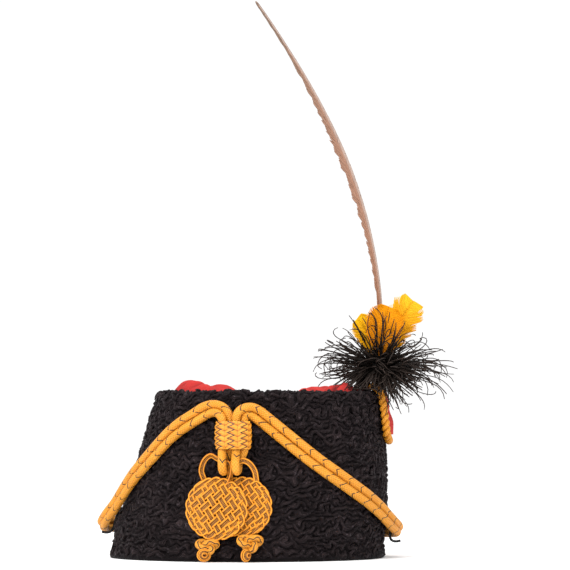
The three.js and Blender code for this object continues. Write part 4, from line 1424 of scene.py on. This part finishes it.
def ostrich(settings, material):
    """The tuft: each barb's heading turns sideways by bend t + wave sin(pace t + phase) + curl s^2, s rising
    smoothly from 0 to 1 over its last two fifths. Its path is the sum of its headings, less droop t^2, and
    is lifted where it would sink into the hat."""
    rng = np.random.default_rng(41)
    counts = [round(fan["share"] * settings.barbs) for fan in FANS]
    total, stations = sum(counts), 19
    rise, azimuth, length, droop = (
        np.concatenate([rng.uniform(fan[key], fan[f"{key}_to"], count) for fan, count in zip(FANS, counts)])
        for key in ("rise", "azimuth", "length", "droop")
    )
    most_curl = np.repeat([fan["curl"] for fan in FANS], counts)[:, None, None]
    rise, turn = np.radians(rise), np.radians(azimuth)
    way = np.stack([np.cos(turn) * np.cos(rise), np.sin(turn) * np.cos(rise), np.sin(rise)], -1)[:, None]
    level = np.stack([-np.sin(turn), np.cos(turn), 0 * turn], -1)[:, None]
    one_each = (total, 1, 1)
    roll = rng.uniform(-1.1, 1.1, one_each)
    across = level * np.cos(roll) + np.cross(way, level) * np.sin(roll)
    t = np.linspace(0, 1, stations)[None, :, None]
    bend = rng.normal(0, 0.42, one_each) * t
    wave = rng.uniform(0.05, 0.15, one_each) * most_curl
    wave = wave * np.sin(rng.uniform(3, 8, one_each) * t + rng.uniform(0, 6.28, one_each))
    curl = most_curl * rng.uniform(-1, 1, one_each) * smoothstep(t, 0.6, 1.05) ** 2
    heading = bend + wave + curl
    stride = (way * np.cos(heading) + across * np.sin(heading)) * length[:, None, None] / (stations - 1)
    paths = HEAD + np.cumsum(stride, axis=1) - stride[:, :1]
    paths[..., 2] -= droop[:, None] * t[..., 0] ** 2
    over_hat = smoothstep(paths[..., 0], 108, 100)
    paths[..., 2] += over_hat * np.maximum(0, HEIGHT + 1.5 - paths[..., 2])
    radius = (0.30 * (1 - t) ** 0.6 + 0.30) * np.ones((total, 1, 2))
    shape = Shape().add(*many(paths, radius, across, 4), share=t, tone=rng.random(one_each))
    shape.add(*tuft_core(), share=0.0, tone=0.0)
    shape.piece("ostrich_barbs", material, "black_ostrich", ["ostrich_tuft"])
    barbules(settings, paths, rng, material)


def tuft_core():
    """The tuft's solid core: a ball with nine shallow lobes, reach = radius (1 + 0.08 sin 9a cos b)."""
    rows, columns = 13, 24
    turn = np.linspace(0, 2 * np.pi, columns, endpoint=False)[None]
    lift = np.radians(np.linspace(-86, 86, rows))[:, None]
    reach = PLUME["head_radius"] * (1 + 0.08 * np.sin(9 * turn) * np.cos(lift))
    level = reach * np.cos(lift)
    ball = np.stack([level * np.cos(turn), level * np.sin(turn), reach * np.sin(lift)], -1)
    return HEAD + ball, *capped(rows, columns)


def barbules(settings, paths, rng, material):
    """Fine needles to the left and right in turn along each barb, at places 0.06 + 0.86 i^1.25, leaning
    forwards, drooping a little and growing shorter towards the tip."""
    total, stations = paths.shape[:2]
    count = settings.barbules
    place = 0.06 + 0.86 * ((np.arange(count) + 0.5) / count) ** 1.25
    station = place * (stations - 1)
    low = np.minimum(station.astype(int), stations - 2)
    part = (station - low)[None, :, None]
    root = paths[:, low] * (1 - part) + paths[:, low + 1] * part
    forward = unit(paths[:, low + 1] - paths[:, low])
    sideways = unit(np.cross(forward, (0, 0, 1)) + rng.normal(0, 0.6, root.shape))
    flip = np.where(np.arange(count) % 2 == 0, 1, -1)[None, :, None]
    reach = rng.uniform(1.2, 3.6, root.shape[:2]) * (1 - 0.8 * place) * smoothstep(place, 0.02, 0.3)
    end = root + (sideways * flip * 0.8 + forward * 0.8) * reach[..., None]
    end[..., 2] -= 0.25 * reach
    needles = np.stack([root, end], 2).reshape(-1, 2, 3)
    taper = np.array([0.13, 0.05])[None, :, None] * np.ones((len(needles), 1, 2))
    shares = np.tile(place, total)[:, None, None]
    shape = Shape().add(*many(needles, taper, (0.3, 0.2, 0.9), 3), share=shares, tone=0.6)
    shape.piece("ostrich_barbules", material, "black_ostrich")


# Stage

# Soft boxes: place and size in metres, power in watts. All face the hat.
LIGHTS = {
    "key": {"place": (-0.9, -1.5, 1.5), "size": 0.8, "power": 38},
    "fill": {"place": (1.5, -1.3, 0.9), "size": 1.2, "power": 9},
    "top": {"place": (0.1, 0.2, 1.9), "size": 1.0, "power": 12},
}
LIT_PLACE = (0, 0, 0.12)


def facing(name, data, place, aim):
    """A lamp or camera at a place, turned to look at aim."""
    thing = bpy.data.objects.new(name, data)
    bpy.context.scene.collection.objects.link(thing)
    thing.location = place
    thing.rotation_euler = (Vector(aim) - Vector(place)).to_track_quat("-Z", "Y").to_euler()
    return thing


def wide_floor():
    """A round white floor of 8 m, which meets the white surroundings at the horizon."""
    sides, sunk = 64, 0.00005
    turn = np.linspace(0, 2 * np.pi, sides, endpoint=False)[None]
    radius = np.array([0.05, 0.4, 1.2, 4.0])[:, None]
    points = np.stack([radius * np.cos(turn), radius * np.sin(turn), 0 * radius * turn - sunk], -1)
    faces, _ = grid(len(radius), sides)
    middle = [list(range(sides))]
    mesh = bpy.data.meshes.new("floor")
    mesh.from_pydata(points.reshape(-1, 3).tolist(), [], faces[:, ::-1].tolist() + middle)
    shader = Shader("white_paper")
    tooth = shader.noise(90, 3)
    shade = shader.mix(tooth, (0.955, 0.955, 0.955), (0.975, 0.975, 0.975))
    mesh.materials.append(shader.finish(Base_Color=shade, Roughness=0.8, Specular_IOR_Level=0.2))
    floor = bpy.data.objects.new("floor", mesh)
    bpy.context.scene.collection.objects.link(floor)


# Operators

class BUSBY_OT_fur(Operator):
    """Make the curly fur wall and its loose curls"""
    bl_idname = "busby.fur"
    bl_label = "Fur"

    def execute(self, context):
        settings = context.scene.busby_fur
        field = curl_field(settings)
        fur_wall(settings, fur_material(settings, on_curls=False), field)
        material = fur_material(settings, on_curls=True)
        loose_curls(settings, material, field, "fur_curls_front", -90, seed=71)
        loose_curls(settings, material, field, "fur_curls_back", 90, seed=72)
        return {"FINISHED"}


class BUSBY_OT_bag(Operator):
    """Make the cloth crown with its tail, and the cord round the tail's edge"""
    bl_idname = "busby.bag"
    bl_label = "Bag"

    def execute(self, context):
        shape = Shape()
        crown(shape)
        tail(shape)
        bag = shape.piece("bag_cloth", cloth_material(context.scene.busby_cloth), "red_cloth", ["bag"])
        material = cord_material(context.scene.busby_cord, "edging_cord", marks="none")
        edging_cord().piece("bag_edge_cord", material, "twisted_gold_cord", ["bag_cord"])
        return {"FINISHED"}


class BUSBY_OT_cap_line(Operator):
    """Make the braided cap line and its plaited slide"""
    bl_idname = "busby.cap_line"
    bl_label = "Cap line"

    def execute(self, context):
        settings = context.scene.busby_cord
        cap_line(cord_material(settings, "flecked_cord", marks="across"))
        slide_plait(cord_material(settings, "zigzag_plait", marks="zigzags"))
        return {"FINISHED"}


class BUSBY_OT_flounders(Operator):
    """Make the woven flounders, their top loops, knots and end loops"""
    bl_idname = "busby.flounders"
    bl_label = "Flounders"

    def execute(self, context):
        settings = context.scene.busby_cord
        material = gimp_material(settings)
        knots = cord_material(settings, "knot_cord", marks="along")
        for row in FLOUNDERS:
            flounder(row, material)
        for row in TASSELS:
            tassel_knot(row, knots)
            tassel_end(row, material)
        return {"FINISHED"}


class BUSBY_OT_plume(Operator):
    """Make the ostrich tuft, the short yellow feathers and the long brown feather"""
    bl_idname = "busby.plume"
    bl_label = "Plume"

    def execute(self, context):
        settings = context.scene.busby_plume
        ostrich(settings, ostrich_material(settings))
        for seed, (name, dye) in enumerate(DYES.items()):
            blade = dye["blade"] or settings.yellow
            material = feather_material(f"{name}_dye", dye["root"], blade, dye["tip"])
            feather(name, material, "yellow_feather", 50 + seed)
        quill = feather_material("quill_brown", QUILL["root"], settings.brown, QUILL["tip"], QUILL["edge"])
        feather("tail_quill", quill, "brown_feather", 61)
        return {"FINISHED"}


class BUSBY_OT_hardware(Operator):
    """Give the side hooks and the plume's post their finish"""
    bl_idname = "busby.hardware"
    bl_label = "Hooks and post"

    def execute(self, context):
        wire = wire_material()
        for name in ("hook_left", "hook_right", "plume_post"):
            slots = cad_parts[name].material_slots
            for slot in slots:
                slot.material = wire
            if not slots:
                raise RuntimeError(f"{name} has no material slot")
        return {"FINISHED"}


class BUSBY_OT_stage(Operator):
    """Make the pale floor, the soft studio light and the camera"""
    bl_idname = "busby.stage"
    bl_label = "Stage"

    def execute(self, context):
        scene = context.scene
        wide_floor()
        for name, light in LIGHTS.items():
            data = bpy.data.lights.new(name, "AREA")
            data.size = light["size"]
            data.energy = light["power"]
            facing(name, data, light["place"], LIT_PLACE)
        world = bpy.data.worlds.new("studio")
        world.use_nodes = True
        background = world.node_tree.nodes["Background"]
        background.inputs["Color"].default_value = (1, 1, 1, 1)
        background.inputs["Strength"].default_value = 1.04
        scene.world = world
        scene.view_settings.view_transform = "Standard"
        data = bpy.data.cameras.new("photo_camera")
        data.lens = data.sensor_width * CAMERA["focal_pixels"] / CAMERA["pixels"]
        eye = placed((CAMERA["x"], -CAMERA["distance"], CAMERA["height"]))
        scene.camera = facing("photo_camera", data, eye, placed((CAMERA["x"], 0, CAMERA["aim"])))
        return {"FINISHED"}


OPERATORS = (
    BUSBY_OT_fur, BUSBY_OT_bag, BUSBY_OT_cap_line, BUSBY_OT_flounders, BUSBY_OT_plume, BUSBY_OT_hardware,
    BUSBY_OT_stage,
)
SETTINGS = {
    "busby_fur": FurSettings, "busby_cloth": ClothSettings, "busby_cord": CordSettings,
    "busby_plume": PlumeSettings,
}


class BUSBY_PT_panel(Panel):
    """The busby's sizes, colours and steps"""
    bl_idname = "BUSBY_PT_panel"
    bl_label = "Busby"
    bl_space_type = "VIEW_3D"
    bl_region_type = "UI"
    bl_category = "Busby"

    def draw(self, context):
        layout = self.layout
        for name, group in SETTINGS.items():
            box = layout.box()
            settings = getattr(context.scene, name)
            for key in group.__annotations__:
                box.prop(settings, key)
        for operator in OPERATORS:
            layout.operator(operator.bl_idname)


def register():
    for group in SETTINGS.values():
        bpy.utils.register_class(group)
    for operator in (*OPERATORS, BUSBY_PT_panel):
        bpy.utils.register_class(operator)
    for name, group in SETTINGS.items():
        setattr(bpy.types.Scene, name, PointerProperty(type=group))


def unregister():
    for name in SETTINGS:
        delattr(bpy.types.Scene, name)
    for kind in (BUSBY_PT_panel, *reversed(OPERATORS), *SETTINGS.values()):
        bpy.utils.unregister_class(kind)


def main():
    register()
    for operator in OPERATORS:
        getattr(bpy.ops.busby, operator.bl_idname.split(".")[1])()


if __name__ == "__main__":
    main()
